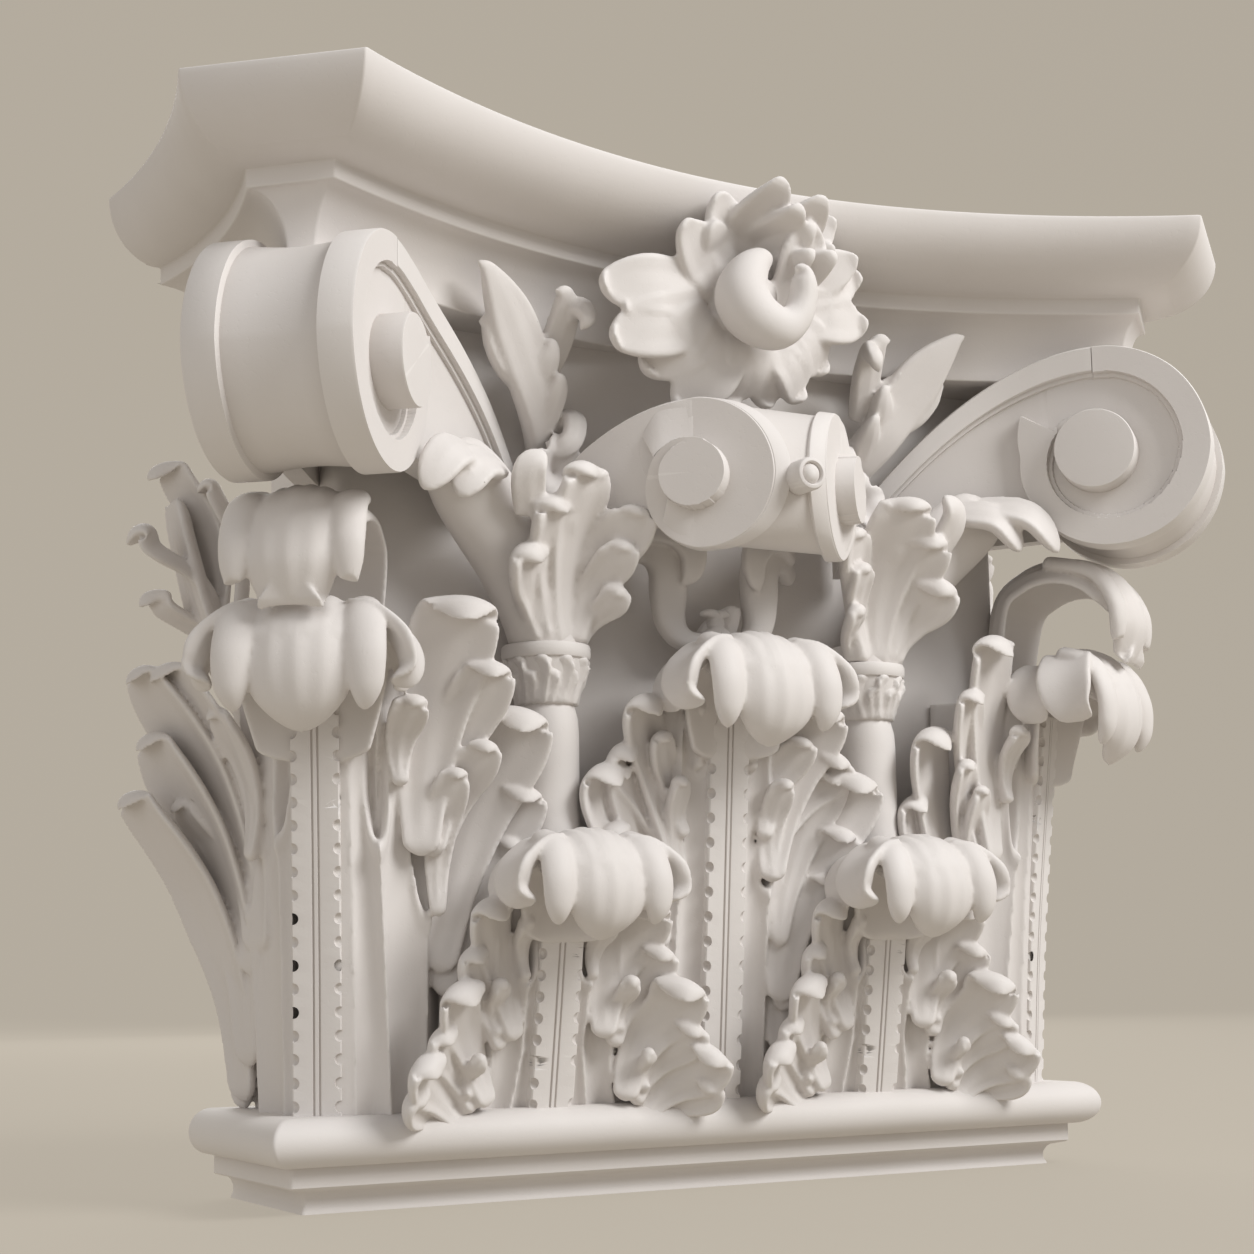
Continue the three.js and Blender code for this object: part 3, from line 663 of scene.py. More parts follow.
SMALL_FINGERS = [  # foot, tip (u, v, z), width and hook, from the lowest pair up
    ((50, 18, 30), (72, 32, 48), 15, 6), ((45, 20, 32), (70, 38, 62), 20, 9),
    ((40, 20, 40), (61, 36, 74), 16, 7), ((34, 21, 42), (54, 40, 93), 24, 11),
    ((28, 23, 66), (46, 35, 108), 17, 7), ((22, 24, 70), (38, 37, 129), 24, 11),
    ((44, 24, 46), (42, 31, 63), 7, 3), ((31, 25, 72), (32, 33, 95), 9, 4),
    ((17, 26, 96), (20, 35, 122), 10, 4),
]
small_stone = cast_stone("small_leaf_stone")
small = Clay()
spot = Setting(-SMALL_X, BELL["front"])
sheet(small, spot, SMALL_ROWS, small_relief, across=150, up=130)
both_sides(small, spot, SMALL_FINGERS)
hood(small, spot, v=27, z=112, top=158, reach=46, drop=24, width=60)
small_pieces = [cast(small, "small_leaf_left", small_stone),
                cast(small.mirrored(), "small_leaf_right", small_stone)]
SMALL_RIB = [(39, 16), (80, 23), (128, 31)]
for side, word in ((-1, "left"), (1, "right")):
    place = Setting(side * SMALL_X, BELL["front"])
    small_pieces.append(midrib(f"small_midrib_{word}", place, SMALL_RIB, 9.4, small_stone))
belongs(*small_pieces)

# --- Centre acanthus leaf ---
# The tall leaf between the caulicoles, made as the small ones are, with two hands of lobes on each
# side and longer pipes.
CENTRE_ROWS = [(39, 40, 12), (90, 36, 17), (130, 38, 22), (170, 42, 25), (205, 40, 28),
               (228, 32, 31)]
CENTRE_LINES = [[(36, 10), (228, 10)], [(36, 25), (134, 24.5), (228, 24)],
                [(36, 42), (90, 38), (130, 40), (170, 44), (205, 42), (228, 34)]]


def centre_relief(u, z):
    side = np.abs(u)
    height = flutes(side, z, CENTRE_LINES)
    return height + eye(side, z, (24.5, 152), (4.8, 15)) + eye(side, z, (14, 200), (3.6, 9), 7)


CENTRE_FINGERS = [
    ((32, 16, 60), (56, 26, 142), 22, 7), ((33, 18, 80), (61, 30, 164), 22, 9),
    ((30, 20, 84), (68, 33, 190), 30, 13), ((31, 20, 110), (58, 30, 190), 18, 7),
    ((28, 22, 150), (58, 32, 199), 19, 9), ((25, 24, 140), (48, 36, 222), 27, 12),
    ((22, 24, 160), (38, 34, 206), 16, 5), ((26, 25, 140), (28, 33, 186), 12, 5),
    ((15, 27, 192), (18, 34, 220), 10, 4),
]
centre_stone = cast_stone("centre_leaf_stone")
centre = Clay()
spot = Setting(0, BELL["front"])
sheet(centre, spot, CENTRE_ROWS, centre_relief, across=120, up=200)
both_sides(centre, spot, CENTRE_FINGERS)
hood(centre, spot, v=26, z=196, top=250, reach=48, drop=27, width=66)
CENTRE_RIB = [(39, 15), (120, 23), (218, 32)]
belongs(cast(centre, "centre_leaf", centre_stone),
        midrib("centre_midrib", spot, CENTRE_RIB, 11.2, centre_stone))

# --- Corner acanthus leaves ---
# A tall leaf folds round each corner of the bell, with its drilled midrib set on the angle and half
# of its lobes on the front, half on the return. All of it is one casting with the bell.
def wrapped(clay, foot, head, low, high, relief, across=150, up=130):
    """The body of a leaf that folds round a corner: plan curves at its foot and its head."""
    foot, head = spline(foot, across), spline(head, across)
    fronts, backs = [], []
    for share in np.linspace(0, 1, up):
        line = foot + (head - foot) * share**1.3
        along = np.gradient(line, axis=0)
        along /= np.linalg.norm(along, axis=1)[:, None]
        normal = np.stack([-along[:, 1], along[:, 0]], -1)
        steps = run_along(line)
        middle = steps[int(across * 0.55)]
        z = low + (high - low) * share
        lift = relief(steps - middle, np.full(across, z))
        fronts.append(np.column_stack([line - normal * lift[:, None], np.full(across, z)]))
        backs.append(np.column_stack([line + normal * 14, np.full(across, z)])[::-1])
    clay.rings(np.concatenate([np.array(fronts), np.array(backs)], 1))


CORNER_LINES = [[(36, -92), (230, -96)], [(36, -54), (128, -61), (230, -62)],
                [(36, -26), (230, -28)],
                [(36, -10), (230, -10)], [(36, 10), (230, 10)], [(36, 25), (156, 22), (230, 23)],
                [(36, 42), (126, 46), (230, 47)], [(36, 74), (230, 76)]]


def corner_relief(s, z):
    height = flutes(s, z, CORNER_LINES) * np.where(np.abs(s) < 10, 0, 1)
    height += eye(s, z, (22, 176), (5.2, 20)) + eye(s, z, (46, 146), (5.5, 20))
    return height + eye(s, z, (-28, 180), (5.2, 20)) + eye(s, z, (-61, 150), (5.5, 20))


CORNER_FOOT = [(-186, 46), (-200, 20), (-204, -12), (-200, -38), (-192, -47), (-181, -53),
               (-165, -58),
               (-148, -56), (-130, -44)]
CORNER_HEAD = [(-190, 46), (-212, 24), (-216, -12), (-210, -44), (-202, -56), (-190, -66),
               (-172, -74),
               (-150, -68), (-138, -44)]
CORNER_FINGERS = [  # on the front, from Setting(-189, front)
    ((54, 10, 70), (80, 20, 158), 22, 7), ((50, 12, 90), (82, 28, 180), 24, 10),
    ((48, 14, 100), (76, 37, 213), 32, 14), ((44, 20, 140), (58, 40, 198), 17, 6),
    ((44, 22, 124), (46, 36, 186), 15, 5), ((40, 24, 150), (58, 46, 232), 24, 9),
    ((34, 26, 150), (44, 48, 259), 34, 14), ((24, 28, 180), (24, 40, 216), 15, 5),
]
RETURN_FINGERS = [  # on the return, from Setting(-184, 20, -90)
    ((24, 20, 110), (8, 60, 238), 42, 10), ((16, 20, 100), (-4, 68, 238), 34, 10),
    ((6, 18, 60), (-6, 62, 208), 38, 10), ((-6, 16, 44), (-12, 68, 182), 40, 10),
    ((2, 20, 100), (-6, 48, 178), 17, 7), ((-14, 14, 40), (-24, 46, 172), 30, 8),
    ((32, 28, 150), (30, 44, 216), 16, 6),
]
corner_stone = cast_stone("corner_leaf_stone")
corner = Clay()
wrapped(corner, CORNER_FOOT, CORNER_HEAD, 39, 232, corner_relief, across=260, up=200)
for spot, fingers, tilt in ((Setting(-189, -42), CORNER_FINGERS, 26),
                            (Setting(-184, 20, -90), RETURN_FINGERS, 12)):
    for foot, tip, width, hook in fingers:
        finger(corner, spot, foot, tip, width, hook, tilt=tilt)
angle_spot = Setting(-181, -25, -30)
hood(corner, angle_spot, v=32, z=190, top=256, reach=50, drop=30, width=70)
corner_rib = midrib("corner_midrib_left", angle_spot, [(39, 24.5), (120, 30.5), (226, 42)], 9.45,
                    corner_stone)


def reflected(thing, name):
    """The right-hand twin of a left-hand piece."""
    mesh = thing.data.copy()
    mesh.transform(Matrix.Scale(-1, 4, (1, 0, 0)))
    mesh.flip_normals()
    twin = bpy.data.objects.new(name, mesh)
    scene.collection.objects.link(twin)
    return twin


corner_leaf = cast(corner, "corner_leaf_left", corner_stone)
belongs(corner_leaf, reflected(corner_leaf, "corner_leaf_right"), corner_rib,
        reflected(corner_rib, "corner_midrib_right"))

# --- Corner husks and return leaves ---
# Above each corner leaf a second turned leaf carries the volute, with a small leaf on the return
# behind it. Both spring straight from the bell.
husk_stone = cast_stone("husk_stone")
husk = Clay()
husk_spot = Setting(-182, -30, -33)
hood(husk, husk_spot, v=8, z=206, top=304, reach=74, drop=34, width=60, tuck=-12, tongue=0.66,
     ears=False)
return_spot = Setting(-184, 33, -90)
husk.sweep(return_spot.at([(2, -4, 200), (0, 16, 230), (-2, 34, 262), (-4, 44, 296),
                           (-4, 50, 322)]),
           [40, 40, 38, 34, 26], [14, 12, 10, 9, 8], side=return_spot.across, cup=0.12, veins=4,
           groove=1.6, rows=60, around=48, tip=0.1)
for foot, tip, width, hook in (((0, 30, 260), (-8, 54, 337), 26, 10),
                               ((4, 34, 262), (6, 68, 303), 22, 10),
                               ((-7, 24, 236), (-12, 58, 276), 22, 8),
                               ((10, 24, 260), (14, 40, 326), 20, 7)):
    finger(husk, return_spot, foot, tip, width, hook)
husk_piece = cast(husk, "husk_left", husk_stone)
belongs(husk_piece, reflected(husk_piece, "husk_right"))

# --- Caulicoles ---
# Each is a round stem that rises behind a small leaf to a ring over a leafy cup. Out of the ring
# grow a smooth husk that leans to the corner and a leaf of five fingers.
STEM = (-88, -57)
STEM_PROFILE = [(14.0, 118), (14.8, 122), (14.8, 206), (14.4, 213), (13.4, 217), (12.8, 219),
                (13.8, 222),
                (15.4, 226), (17.6, 234), (18.8, 239.5), (18.8, 240.2), (20.0, 240.6), (20.6, 242),
                (20.6, 245.6), (20.0, 246.8), (17, 247.4), (16, 256)]


def turned(clay, x, y, profile, around=72):
    """A shape spun about an upright axis."""
    angle = np.linspace(0, 2 * math.pi, around, endpoint=False)
    clay.rings([np.column_stack([x + r * np.cos(angle), y + r * np.sin(angle),
                                 np.full(around, z)]) for r, z in profile])


stem_stone = cast_stone("caulicole_stone")
stem = Clay()
turned(stem, *STEM, STEM_PROFILE)
stem_piece = settled(stem.into("stem_left", stem_stone), [], 34)
calyx = Clay()
stem_spot = Setting(*STEM)
for step in range(7):
    heading = -105 + 35 * step
    leaf_spot = Setting(*STEM, heading)
    finger(calyx, leaf_spot, (0, 13.2, 219), (0.1, 18.6, 240), 10.5, 2.5, belly=0, depth=3.4,
           veins=2,
           groove=0.5)
    if step < 6:
        between = Setting(*STEM, heading + 17.5)
        finger(calyx, between, (0, 13.0, 219), (0.1, 17.4, 233), 7, 2, belly=0, depth=3, veins=0)
CALYX_FINGERS = [  # foot, tip, width, hook, depth
    ((2, 12, 246), (-1, 42, 322), 29, 8, 9), ((7, 12, 247), (28, 38, 306), 22, 5, 8),
    ((10, 12, 247), (22, 34, 290), 17, 5, 7), ((13, 10, 247), (22, 28, 270), 13, 5, 7),
    ((-4, 13, 247), (-14, 38, 306), 24, 9, 9), ((-9, 12, 247), (-24, 32, 284), 21, 9, 9),
]
for foot, tip, width, hook, deep in CALYX_FINGERS:
    finger(calyx, stem_spot, foot, tip, width, hook, belly=3, depth=deep, veins=2)
calyx.sweep([(-90, -60, 242), (-97, -63, 262), (-109, -68, 284), (-126, -75, 305),
             (-142, -82, 320),
             (-152, -86, 327)], [27, 30, 34, 38, 38, 28], [26, 27, 26, 22, 16, 10],
            face=(-0.35, -1, 0.2), cup=-0.08, rows=50, around=48, tip=0.1)
for start, middle, end, width in (((-126, -84, 322), (-142, -98, 318), (-153, -104, 302), 20),
                                  ((-140, -86, 326), (-158, -104, 320), (-172, -110, 302), 20),
                                  ((-112, -88, 300), (-116, -98, 318), (-110, -100, 328), 16)):
    calyx.sweep([start, middle, end], [width * 0.8, width, width * 0.7], [8, 9, 7],
                face=(-0.2, -1, 0.35), cup=0.1, veins=2, rows=30, around=28, tip=0.3)
calyx_piece = cast(calyx, "calyx_left", stem_stone, grain=1.15)
belongs(stem_piece, reflected(stem_piece, "stem_right"), calyx_piece,
        reflected(calyx_piece, "calyx_right"))

# --- Corner volutes ---
# A strap grows from each caulicole and rolls up under the horn of the abacus. Its two faces carry a
# flat band round a sunk field and a plain drum-shaped eye; the roll between them is sunk too.
VOLUTE = {"x": -189, "y": -122, "z": 353, "turn": 41, "width": 73, "eye": 20}
COIL = [(0, 54.5), (45, 56), (90, 56), (135, 52.5), (180, 47.5), (225, 42.5), (270, 38), (315, 45)]
COIL_IN = [(0, 41), (45, 42.5), (90, 42), (135, 38), (180, 33.5), (225, 29), (270, 24),
           (300, 21.5)]
a = math.radians(VOLUTE["turn"])
volute_out = np.array([math.cos(a), -math.sin(a), 0])
volute_ahead = np.array([-math.sin(a), -math.cos(a), 0])
volute_eye = np.array([VOLUTE["x"], VOLUTE["y"], VOLUTE["z"]], float)


def coil(table, angle):
    """The reach of a spiral at an angle in degrees from the top, going outwards and down."""
    angles, reach = zip(*table)
    return np.interp(angle, [*angles, angles[0] + 360], [*reach, reach[0]])


EYE_RISE = 9.0  # how far the drum of the eye stands over the band


def volute_relief(r, angle):
    """How far the face stands over its band, at a reach and an angle from the eye."""
    inner = coil(COIL_IN, angle)
    open_slot = smooth((312 - angle) / 40)
    sunk = -4.6 - 0.8 * np.sin(np.radians(np.clip(angle, 0, 180)))
    fillet = sunk + 1.9
    climb = 3.0 * smooth((angle - 190) / 120)
    level = climb + 0.0 * r
    level = np.where(r < inner, fillet * open_slot + climb * (1 - open_slot), level)
    level = np.where(r < inner - 2.2, sunk * open_slot + climb * (1 - open_slot), level)
    free = (angle > 300) & (r > VOLUTE["eye"] + 4 * smooth((360 - angle) / 60))
    level = np.where(free, sunk, level)
    return np.where(r < VOLUTE["eye"], EYE_RISE, level)


def drum(clay, centre, ahead, out, table, width, relief, band, sink, eye_back):
    """A rolled scroll: a carved face, a sunk roll between two bands, and a plainer face behind."""
    steps = 180
    angle = np.linspace(0, 360, steps, endpoint=False)
    sway, rise = np.sin(np.radians(angle)), np.cos(np.radians(angle))
    rim = coil(table, angle)

    def ring(reach, depth):
        reach = np.broadcast_to(reach, steps)
        depth = np.broadcast_to(depth, steps)
        return (centre + ahead * (reach * sway)[:, None] + out * depth[:, None]
                + np.array([0, 0, 1]) * (reach * rise)[:, None])

    rings = []
    eye_rim = eye_back[0]
    for reach in (1, eye_rim - 1.2, eye_rim - 0.4, eye_rim):
        eased = 8.1 + 2 * (eye_rim - reach)
        rings.append(ring(reach, EYE_RISE if reach < eye_rim - 0.5 else eased))
    for share in np.linspace(0, 0.985, 80):
        reach = eye_rim + 0.05 + (rim - eye_rim) * share
        rings.append(ring(reach, relief(np.maximum(reach, eye_rim + 0.02), angle)))
    rings.append(ring(rim, relief(rim * 0.99, angle) - 0.9))
    rings.append(ring(rim, -band))
    for share in np.linspace(0, 1, 9):
        hollow = sink + 1.8 * math.sin(math.pi * share)
        rings.append(ring(rim - hollow, -band - 0.8 - (width - 2 * band - 1.6) * share))
    rings += [ring(rim, band - width), ring(rim, 0.9 - width), ring(rim * 0.985, -width)]
    for share in np.linspace(0.97, 0, 50):
        reach = eye_rim + 0.05 + (rim - eye_rim) * share
        rings.append(ring(reach, np.where(coil(COIL_IN, angle) > reach, -width + 4.6, -width)))
    for reach in (eye_rim, eye_rim - 0.6, eye_rim - 2, 1):
        rings.append(ring(reach, -width - eye_back[1] + (1.0 if reach == eye_rim else 0.0)))
    clay.rings(rings)


SPRING = {"front": 318, "flank": 372}  # where each strap's top edge leaves the bell
STRAP = {"band": 13.0, "back": 16, "rows": 60, "low": 32, "socket": 26, "least": 17}


def strap(clay, plan, spring, fall, hand):
    """The strap that feeds a scroll: a band along its top, a step and a plain field below. It
    rises from its spring to the top of the coil, and its lower edge falls and rounds the eye."""
    line = spline(plan, 400)
    steps = run_along(line)
    length = steps[-1]
    along = np.gradient(line, axis=0)
    along /= np.linalg.norm(along, axis=1)[:, None]
    climb = VOLUTE["z"] + COIL[0][1] - spring
    band, back = STRAP["band"], STRAP["back"]
    sections = []
    for a in np.linspace(0, length - 0.5, STRAP["rows"]):
        x, y = np.interp(a, steps, line[:, 0]), np.interp(a, steps, line[:, 1])
        tx, ty = np.interp(a, steps, along[:, 0]), np.interp(a, steps, along[:, 1])
        top = spring + climb * math.sin(math.pi / 2 * min(a / length, 1)) ** 0.9
        left = length - a
        if left < STRAP["socket"]:
            bottom = VOLUTE["z"] + math.sqrt(STRAP["socket"]**2 - left**2)
        else:
            bottom = VOLUTE["z"] - STRAP["low"] - fall * (left - STRAP["socket"]) / length
            bottom = min(bottom, top - STRAP["least"])
        profile = [(top, -back), (top, -1.0), (top - 1, 0), (top - band + 0.6, 0),
                   (top - band, -0.6), (top - band - 0.1, -2.6), (top - band - 2.3, -2.8),
                   (top - band - 2.6, -4.6), (bottom + 1.2, -4.6), (bottom, -5.8), (bottom, -back)]
        sections.append([(x + ty * d * hand, y - tx * d * hand, max(z, bottom))
                         for z, d in profile])
    clay.rings(sections)


def toward(centre, reach):
    return tuple((centre + volute_ahead * reach)[:2])


volute_stone = cast_stone("volute_stone")
roll = Clay()
drum(roll, volute_eye, volute_ahead, volute_out, COIL, VOLUTE["width"], volute_relief, 15, 3,
     (VOLUTE["eye"], 13))
volute_back = volute_eye - volute_out * VOLUTE["width"]
front_plan = [(-90, -40), (-118, -62), (-154, -86), toward(volute_eye, -24),
              toward(volute_eye, 0)]
flank_plan = [(-172, 14), (-196, -8), toward(volute_back, -30), toward(volute_back, 0)]
strap(roll, front_plan, SPRING["front"], 18, hand=-1)
strap(roll, flank_plan, SPRING["flank"], 0, hand=1)
roll_piece = settled(roll.into("volute_left", volute_stone), [], 44)
belongs(roll_piece, reflected(roll_piece, "volute_right"))

# --- Helices ---
# Two inner scrolls meet under the fleuron. Their faces are plain and climb like a snail to the eye;
# they share one short roll with a ringed boss on it.
HELIX = {"x": -40, "y": -113, "z": 320, "eye": 16.5}
HELIX_RIM = [(0, 37), (90, 37), (135, 36), (180, 33), (225, 27.5), (270, 21.5), (300, 30),
             (330, 36)]
HELIX_COIL = [(180, 33), (225, 27.5), (270, 21.5), (315, 18.5), (360, 16.5)]
h = math.sqrt(0.5)
helix_ahead = np.array([h, -h, 0])
helix_out = np.array([-h, -h, 0])
helix_eye = np.array([HELIX["x"], HELIX["y"], HELIX["z"]], float)


def helix_relief(r, angle):
    edge = HELIX["eye"] - 2.2 * angle / 360
    reach = coil(HELIX_COIL, angle)
    climb = EYE_RISE * smooth((angle - 175) / 185)
    level = np.where((angle > 180) & (r < reach), climb, 0.0 * r)
    return np.where(r < edge, EYE_RISE, level)


helix_stone = cast_stone("helix_stone")
helix = Clay()
steps = 180
angle = np.linspace(0, 360, steps, endpoint=False)
sway, rise = np.sin(np.radians(angle)), np.cos(np.radians(angle))
rim = coil(HELIX_RIM, angle)
face_rings = []
for share in np.linspace(0.02, 1, 80):
    reach = rim * share
    depth = helix_relief(reach, angle) - (0.8 if share == 1 else 0)
    face_rings.append(helix_eye + helix_ahead * (reach * sway)[:, None] + helix_out * depth[:,
                                                                                            None]
                      + np.array([0, 0, 1]) * (reach * rise)[:, None])
face_rings.append(face_rings[-1] - helix_out * 7)
helix.rings(face_rings)
helix_plan = [(-86, -52), (-74, -74), tuple((helix_eye - helix_ahead * 16)[:2]),
              tuple(helix_eye[:2])]
line = spline(helix_plan, 400)
run = run_along(line)
helix_length = run[-1]
HELIX_STRAP = {"spring": 318, "climb": 38.6, "low": 292, "lift": 10, "socket": 17}


def helix_top(a):
    share = min(a / helix_length, 1)
    return HELIX_STRAP["spring"] + HELIX_STRAP["climb"] * math.sin(math.pi / 2 * share) ** 0.85


def helix_low(a):
    left = helix_length - a
    if left <= HELIX_STRAP["socket"]:
        return HELIX["z"] + HELIX_STRAP["socket"]
    rising = HELIX_STRAP["low"] + HELIX_STRAP["lift"] * (1 - left / helix_length)
    return min(rising, helix_top(a) - 4)


sections = []
for a in np.linspace(0, helix_length - 0.5, 50):
    x, y = np.interp(a, run, line[:, 0]), np.interp(a, run, line[:, 1])
    dx = np.interp(a, run, np.gradient(line[:, 0], run))
    dy = np.interp(a, run, np.gradient(line[:, 1], run))
    size = math.hypot(dx, dy)
    nx, ny = dy / size, -dx / size
    top, bottom = helix_top(a), helix_low(a)
    sections.append([(x + nx * d, y + ny * d, z) for z, d in
                     ((top, -9), (top, -0.9), (top - 0.9, 0), (bottom + 0.9, 0), (bottom, -0.9),
                      (bottom, -9))])
helix.rings(sections)
helix_piece = settled(helix.into("helix_left", helix_stone), [rubbed_arris(0.4, 2, 0.7)], 36)

between = Clay()
slices = []
for turn_by in np.linspace(-50, 215, 90):
    reach = coil(HELIX_RIM, turn_by % 360)
    edge = helix_eye + helix_ahead * reach * math.sin(math.radians(turn_by)) - helix_out * 0.2
    top = HELIX["z"] + reach * math.cos(math.radians(turn_by))
    span = -edge[0]
    lean = np.array([0, math.sin(math.radians(turn_by)), math.cos(math.radians(turn_by))])
    row = [(-span, 0.6), (-span + 0.6, 0), (-span + 8.6, 0), (-span + 9.0, 0.4),
           (-span + 9.2, 2.2)]
    row += [(-x, d) for x, d in row[::-1]]
    outer = [np.array([x, edge[1], top]) - d * lean * (1, -1, 1) for x, d in row]
    core = np.array([0, helix_eye[1], HELIX["z"]])
    inner = [core + (np.array(p) - core) * (1, 0.45, 0.45) for p in outer[::-1]]
    slices.append(outer + inner)
between.rings(slices)
BOSS_Y = -136.5  # where the boss springs from the roll
boss = [(0.5, 0), (7.6, 0), (7.6, 10.6), (7.0, 12.2), (5.6, 12.6), (4.9, 11.6), (4.8, 10.6),
        (4.3, 11.2), (3.4, 12.4), (1.8, 13.0), (0.3, 13.1)]
ring_angle = np.linspace(0, 2 * math.pi, 48, endpoint=False)
between.rings([np.column_stack([r * np.cos(ring_angle), np.full(48, BOSS_Y - d),
                                HELIX["z"] - 2 + r * np.sin(ring_angle)]) for r, d in boss])
between_piece = settled(between.into("helix_roll", helix_stone), [rubbed_arris(0.3, 2, 0.7)], 36)
belongs(helix_piece, reflected(helix_piece, "helix_right"), between_piece)

# --- Tendrils ---
# Broad straps slip out from behind each calyx, fold over in a blunt leaf tip and end in a small
# coil over the centre leaf, with a bud between the two coils. They are cast with the bell.
TENDRIL = [(-52, -48, 290), (-42, -54, 297), (-32, -58, 297), (-26, -60, 289), (-25, -60, 276),
           (-24, -60, 263), (-19, -60, 255), (-10, -61, 253), (-2, -62, 257), (1, -62, 263),
           (-3, -62, 267), (-8, -61, 266)]
tendril_stone = cast_stone("tendril_stone")
tendril = Clay()
tendril.sweep(TENDRIL, [12, 14, 17, 20, 21, 20, 17, 12, 9, 8, 6, 4],
              [12, 12, 13, 14, 15, 15, 14, 13, 12, 12, 11, 8], face=(0, -1, 0), cup=0.1, rows=90,
              around=32, tip=0.04)
tendril.sweep([(-48, -56, 298), (-36, -64, 305), (-24, -68, 303), (-17, -70, 295), (-17, -70, 284),
               (-21, -68, 278)], [8, 12, 15, 15, 13, 8], [8, 9, 9, 9, 8, 6],
              face=(-0.15, -1, 0.1), cup=0.12, veins=1, rows=46, around=28, tip=0.2)
bud = Clay()
bud.sweep([(5, -50, 250), (8, -56, 262), (10, -60, 268), (14, -62, 271)], [14, 13, 12, 8],
          [14, 13, 11, 7], face=(0, -1, 0), cup=0.1, veins=2, rows=30, around=28, tip=0.3)
bud.sweep([(0, -44, 244), (1, -54, 256), (0, -58, 266)], [20, 18, 10], [14, 12, 8],
          face=(0, -1, 0), cup=0.1, veins=3, rows=30, around=28, tip=0.3)
tendril_piece = cast(tendril, "tendril_left", tendril_stone, grain=1.0)
belongs(tendril_piece, reflected(tendril_piece, "tendril_right"),
        cast(bud, "tendril_bud", tendril_stone, grain=1.0))

# --- Sprigs ---
# A little branch fills the field between each volute and helix: a pointed leaf with a hooked lobe,
# two knobs down its stalk and a small open flower at its foot.
sprig_stone = cast_stone("sprig_stone")
sprig = Clay()
SPRIG = [
    ([(-82, -42, 338), (-88, -54, 350), (-97, -64, 364), (-106, -70, 380), (-118, -78, 398),
      (-130, -86, 412), (-136, -88, 415)], [16, 20, 22, 25, 25, 19, 10],
      [11, 12, 12, 11, 10, 9, 6]),
    ([(-100, -62, 368), (-114, -70, 378), (-125, -76, 390), (-130, -76, 391)], [14, 18, 16, 9],
     [9, 9, 8, 6]),
    ([(-96, -62, 368), (-98, -68, 382), (-101, -72, 391), (-104, -73, 391)], [13, 16, 13, 7],
     [9, 9, 8, 5]),
    ([(-90, -58, 372), (-86, -72, 396), (-88, -80, 408), (-94, -82, 409)], [12, 15, 14, 8],
     [9, 9, 8, 6]),
    ([(-88, -66, 396), (-82, -80, 402), (-80, -87, 396), (-83, -86, 390)], [9, 11, 10, 6],
     [8, 8, 7, 5]),
    ([(-94, -58, 356), (-94, -70, 374), (-93, -76, 384), (-96, -76, 387)], [11, 12, 11, 6],
     [8, 8, 8, 5]),
    ([(-90, -54, 346), (-88, -66, 360), (-88, -74, 369), (-91, -74, 371)], [10, 11, 10, 6],
     [8, 8, 8, 5]),
    ([(-84, -46, 352), (-76, -62, 354), (-78, -66, 344), (-84, -64, 338), (-90, -62, 342)],
     [9, 11, 11, 10, 6], [8, 8, 8, 8, 5]),
]
for path, widths, depth in SPRIG:
    sprig.sweep(path, widths, np.array(depth) * 1.25, face=(0, -1, 0), cup=0.1, veins=2, rows=50,
                around=32, tip=0.3)
for step in range(5):
    a = math.radians(90 + 72 * step)
    heading = np.array([math.cos(a), 0, math.sin(a)])
    heart = np.array([-84, -54, 329])
    sprig.sweep([heart, heart + heading * 9 + (0, -9, 0), heart + heading * 18 + (0, -8, 0)],
                [8, 13, 8], [6, 6, 4], face=(0, -1, 0), cup=0.2, veins=1, rows=20, around=20,
                tip=0.35)
sprig_piece = cast(sprig, "sprig_left", sprig_stone, grain=1.0)
belongs(sprig_piece, reflected(sprig_piece, "sprig_right"))

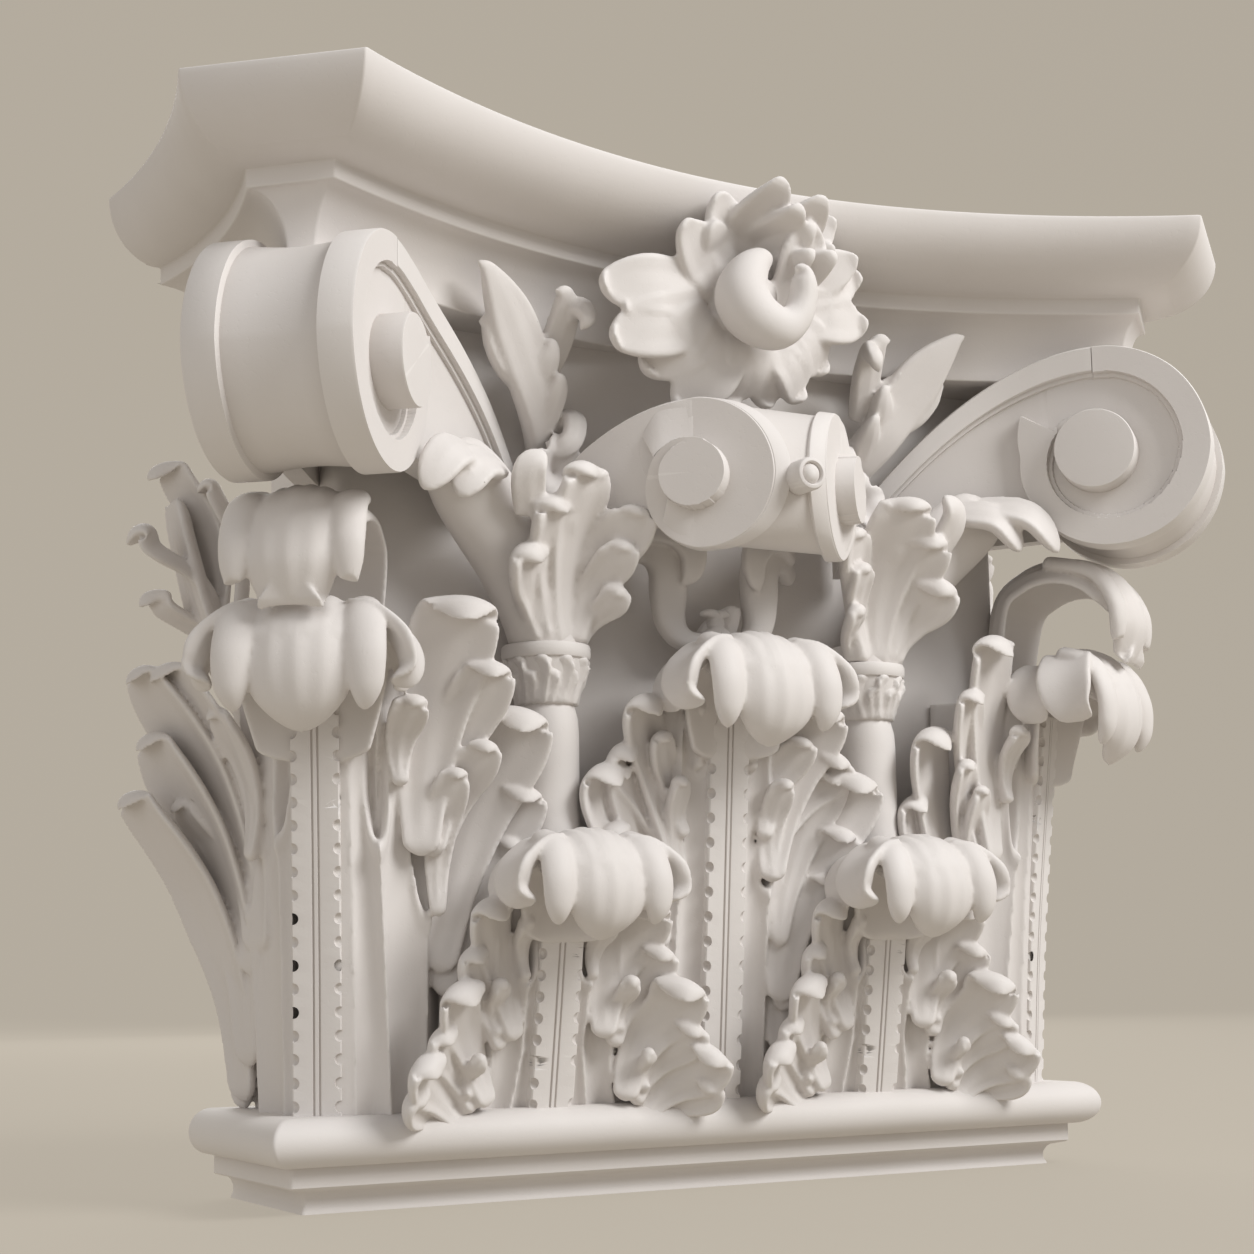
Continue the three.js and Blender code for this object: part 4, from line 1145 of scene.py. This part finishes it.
# --- Fleuron ---
# A large open flower, cast with the abacus, covers its middle. Two-lobed petals with thick folded
# edges stand round a fat curled bud.
PETALS = [  # tip, width, how far its end folds over
    ((11, -128, 460), 44, 5), ((-33, -108, 449), 46, 7), ((-78, -100, 396), 48, 7),
    ((-45, -92, 364), 46, 7), ((4, -90, 362), 38, 6), ((40, -92, 376), 40, 6),
    ((65, -98, 420), 44, 7), ((50, -106, 447), 40, 6), ((26, -124, 438), 32, 4),
]
fleuron_stone = cast_stone("fleuron_stone")
fleuron = Clay()
FLEURON_Z = 412.0
hub = np.array([0, -92, FLEURON_Z])
for tip, width, fold in PETALS:
    tip = np.array(tip, float)
    ray = tip - hub
    ray[1] = 0
    span = np.linalg.norm(ray)
    ray /= span
    aside = np.cross(ray, (0, -1, 0))
    for side in (-1, 0, 1):
        end = tip + aside * side * width * 0.25 - ray * (9 if side == 0 else 0)
        path = [np.array([0, -48, FLEURON_Z]), hub + ray * span * 0.3 + aside * side * width * 0.08 + (0, 2, 0),
                hub + ray * span * 0.62 + aside * side * width * 0.19 + (0, -7, 0),
                end + (0, 1, 0) - ray * 5, end + (0, -fold * 0.7, 0)]
        fleuron.sweep(path, width * (0.58 if side else 0.5) * np.array([0.5, 0.75, 1.0, 1.08,
                                                                        0.9]),
                      [12, 11, 11, 11, 9], side=aside, cup=0.13 if side else 0.06, veins=2,
                      groove=0.8,
                      rows=56, around=40, tip=0.3)
BUD = [(0, -112, 430), (-11, -115, 420), (-16, -118, 407), (-11, -121, 396), (0, -124, 391),
       (9, -125, 397), (13, -126, 408), (12, -128, 418), (7, -129, 421)]
fleuron.sweep(BUD, [10, 17, 22, 24, 22, 18, 14, 12, 7], [16, 22, 26, 26, 24, 20, 17, 14, 9],
              face=(0, -1, 0), rows=80, around=44, tip=0.12)
fleuron.sweep([(-3, -60, 409), (-3, -100, 409), (-3, -121, 409)], [34, 34, 28], [34, 36, 30],
              side=(1, 0, 0), rows=30, around=44, tip=0.5)
fleuron.sweep([(14, -100, 404), (18, -112, 424), (19, -120, 440), (18, -126, 446)],
              [16, 22, 24, 18], [10, 10, 10, 8], side=(1, 0, -0.2), cup=0.16, veins=2, rows=50,
              around=40,
              tip=0.36)
belongs(cast(fleuron, "fleuron", fleuron_stone, grain=1.1))
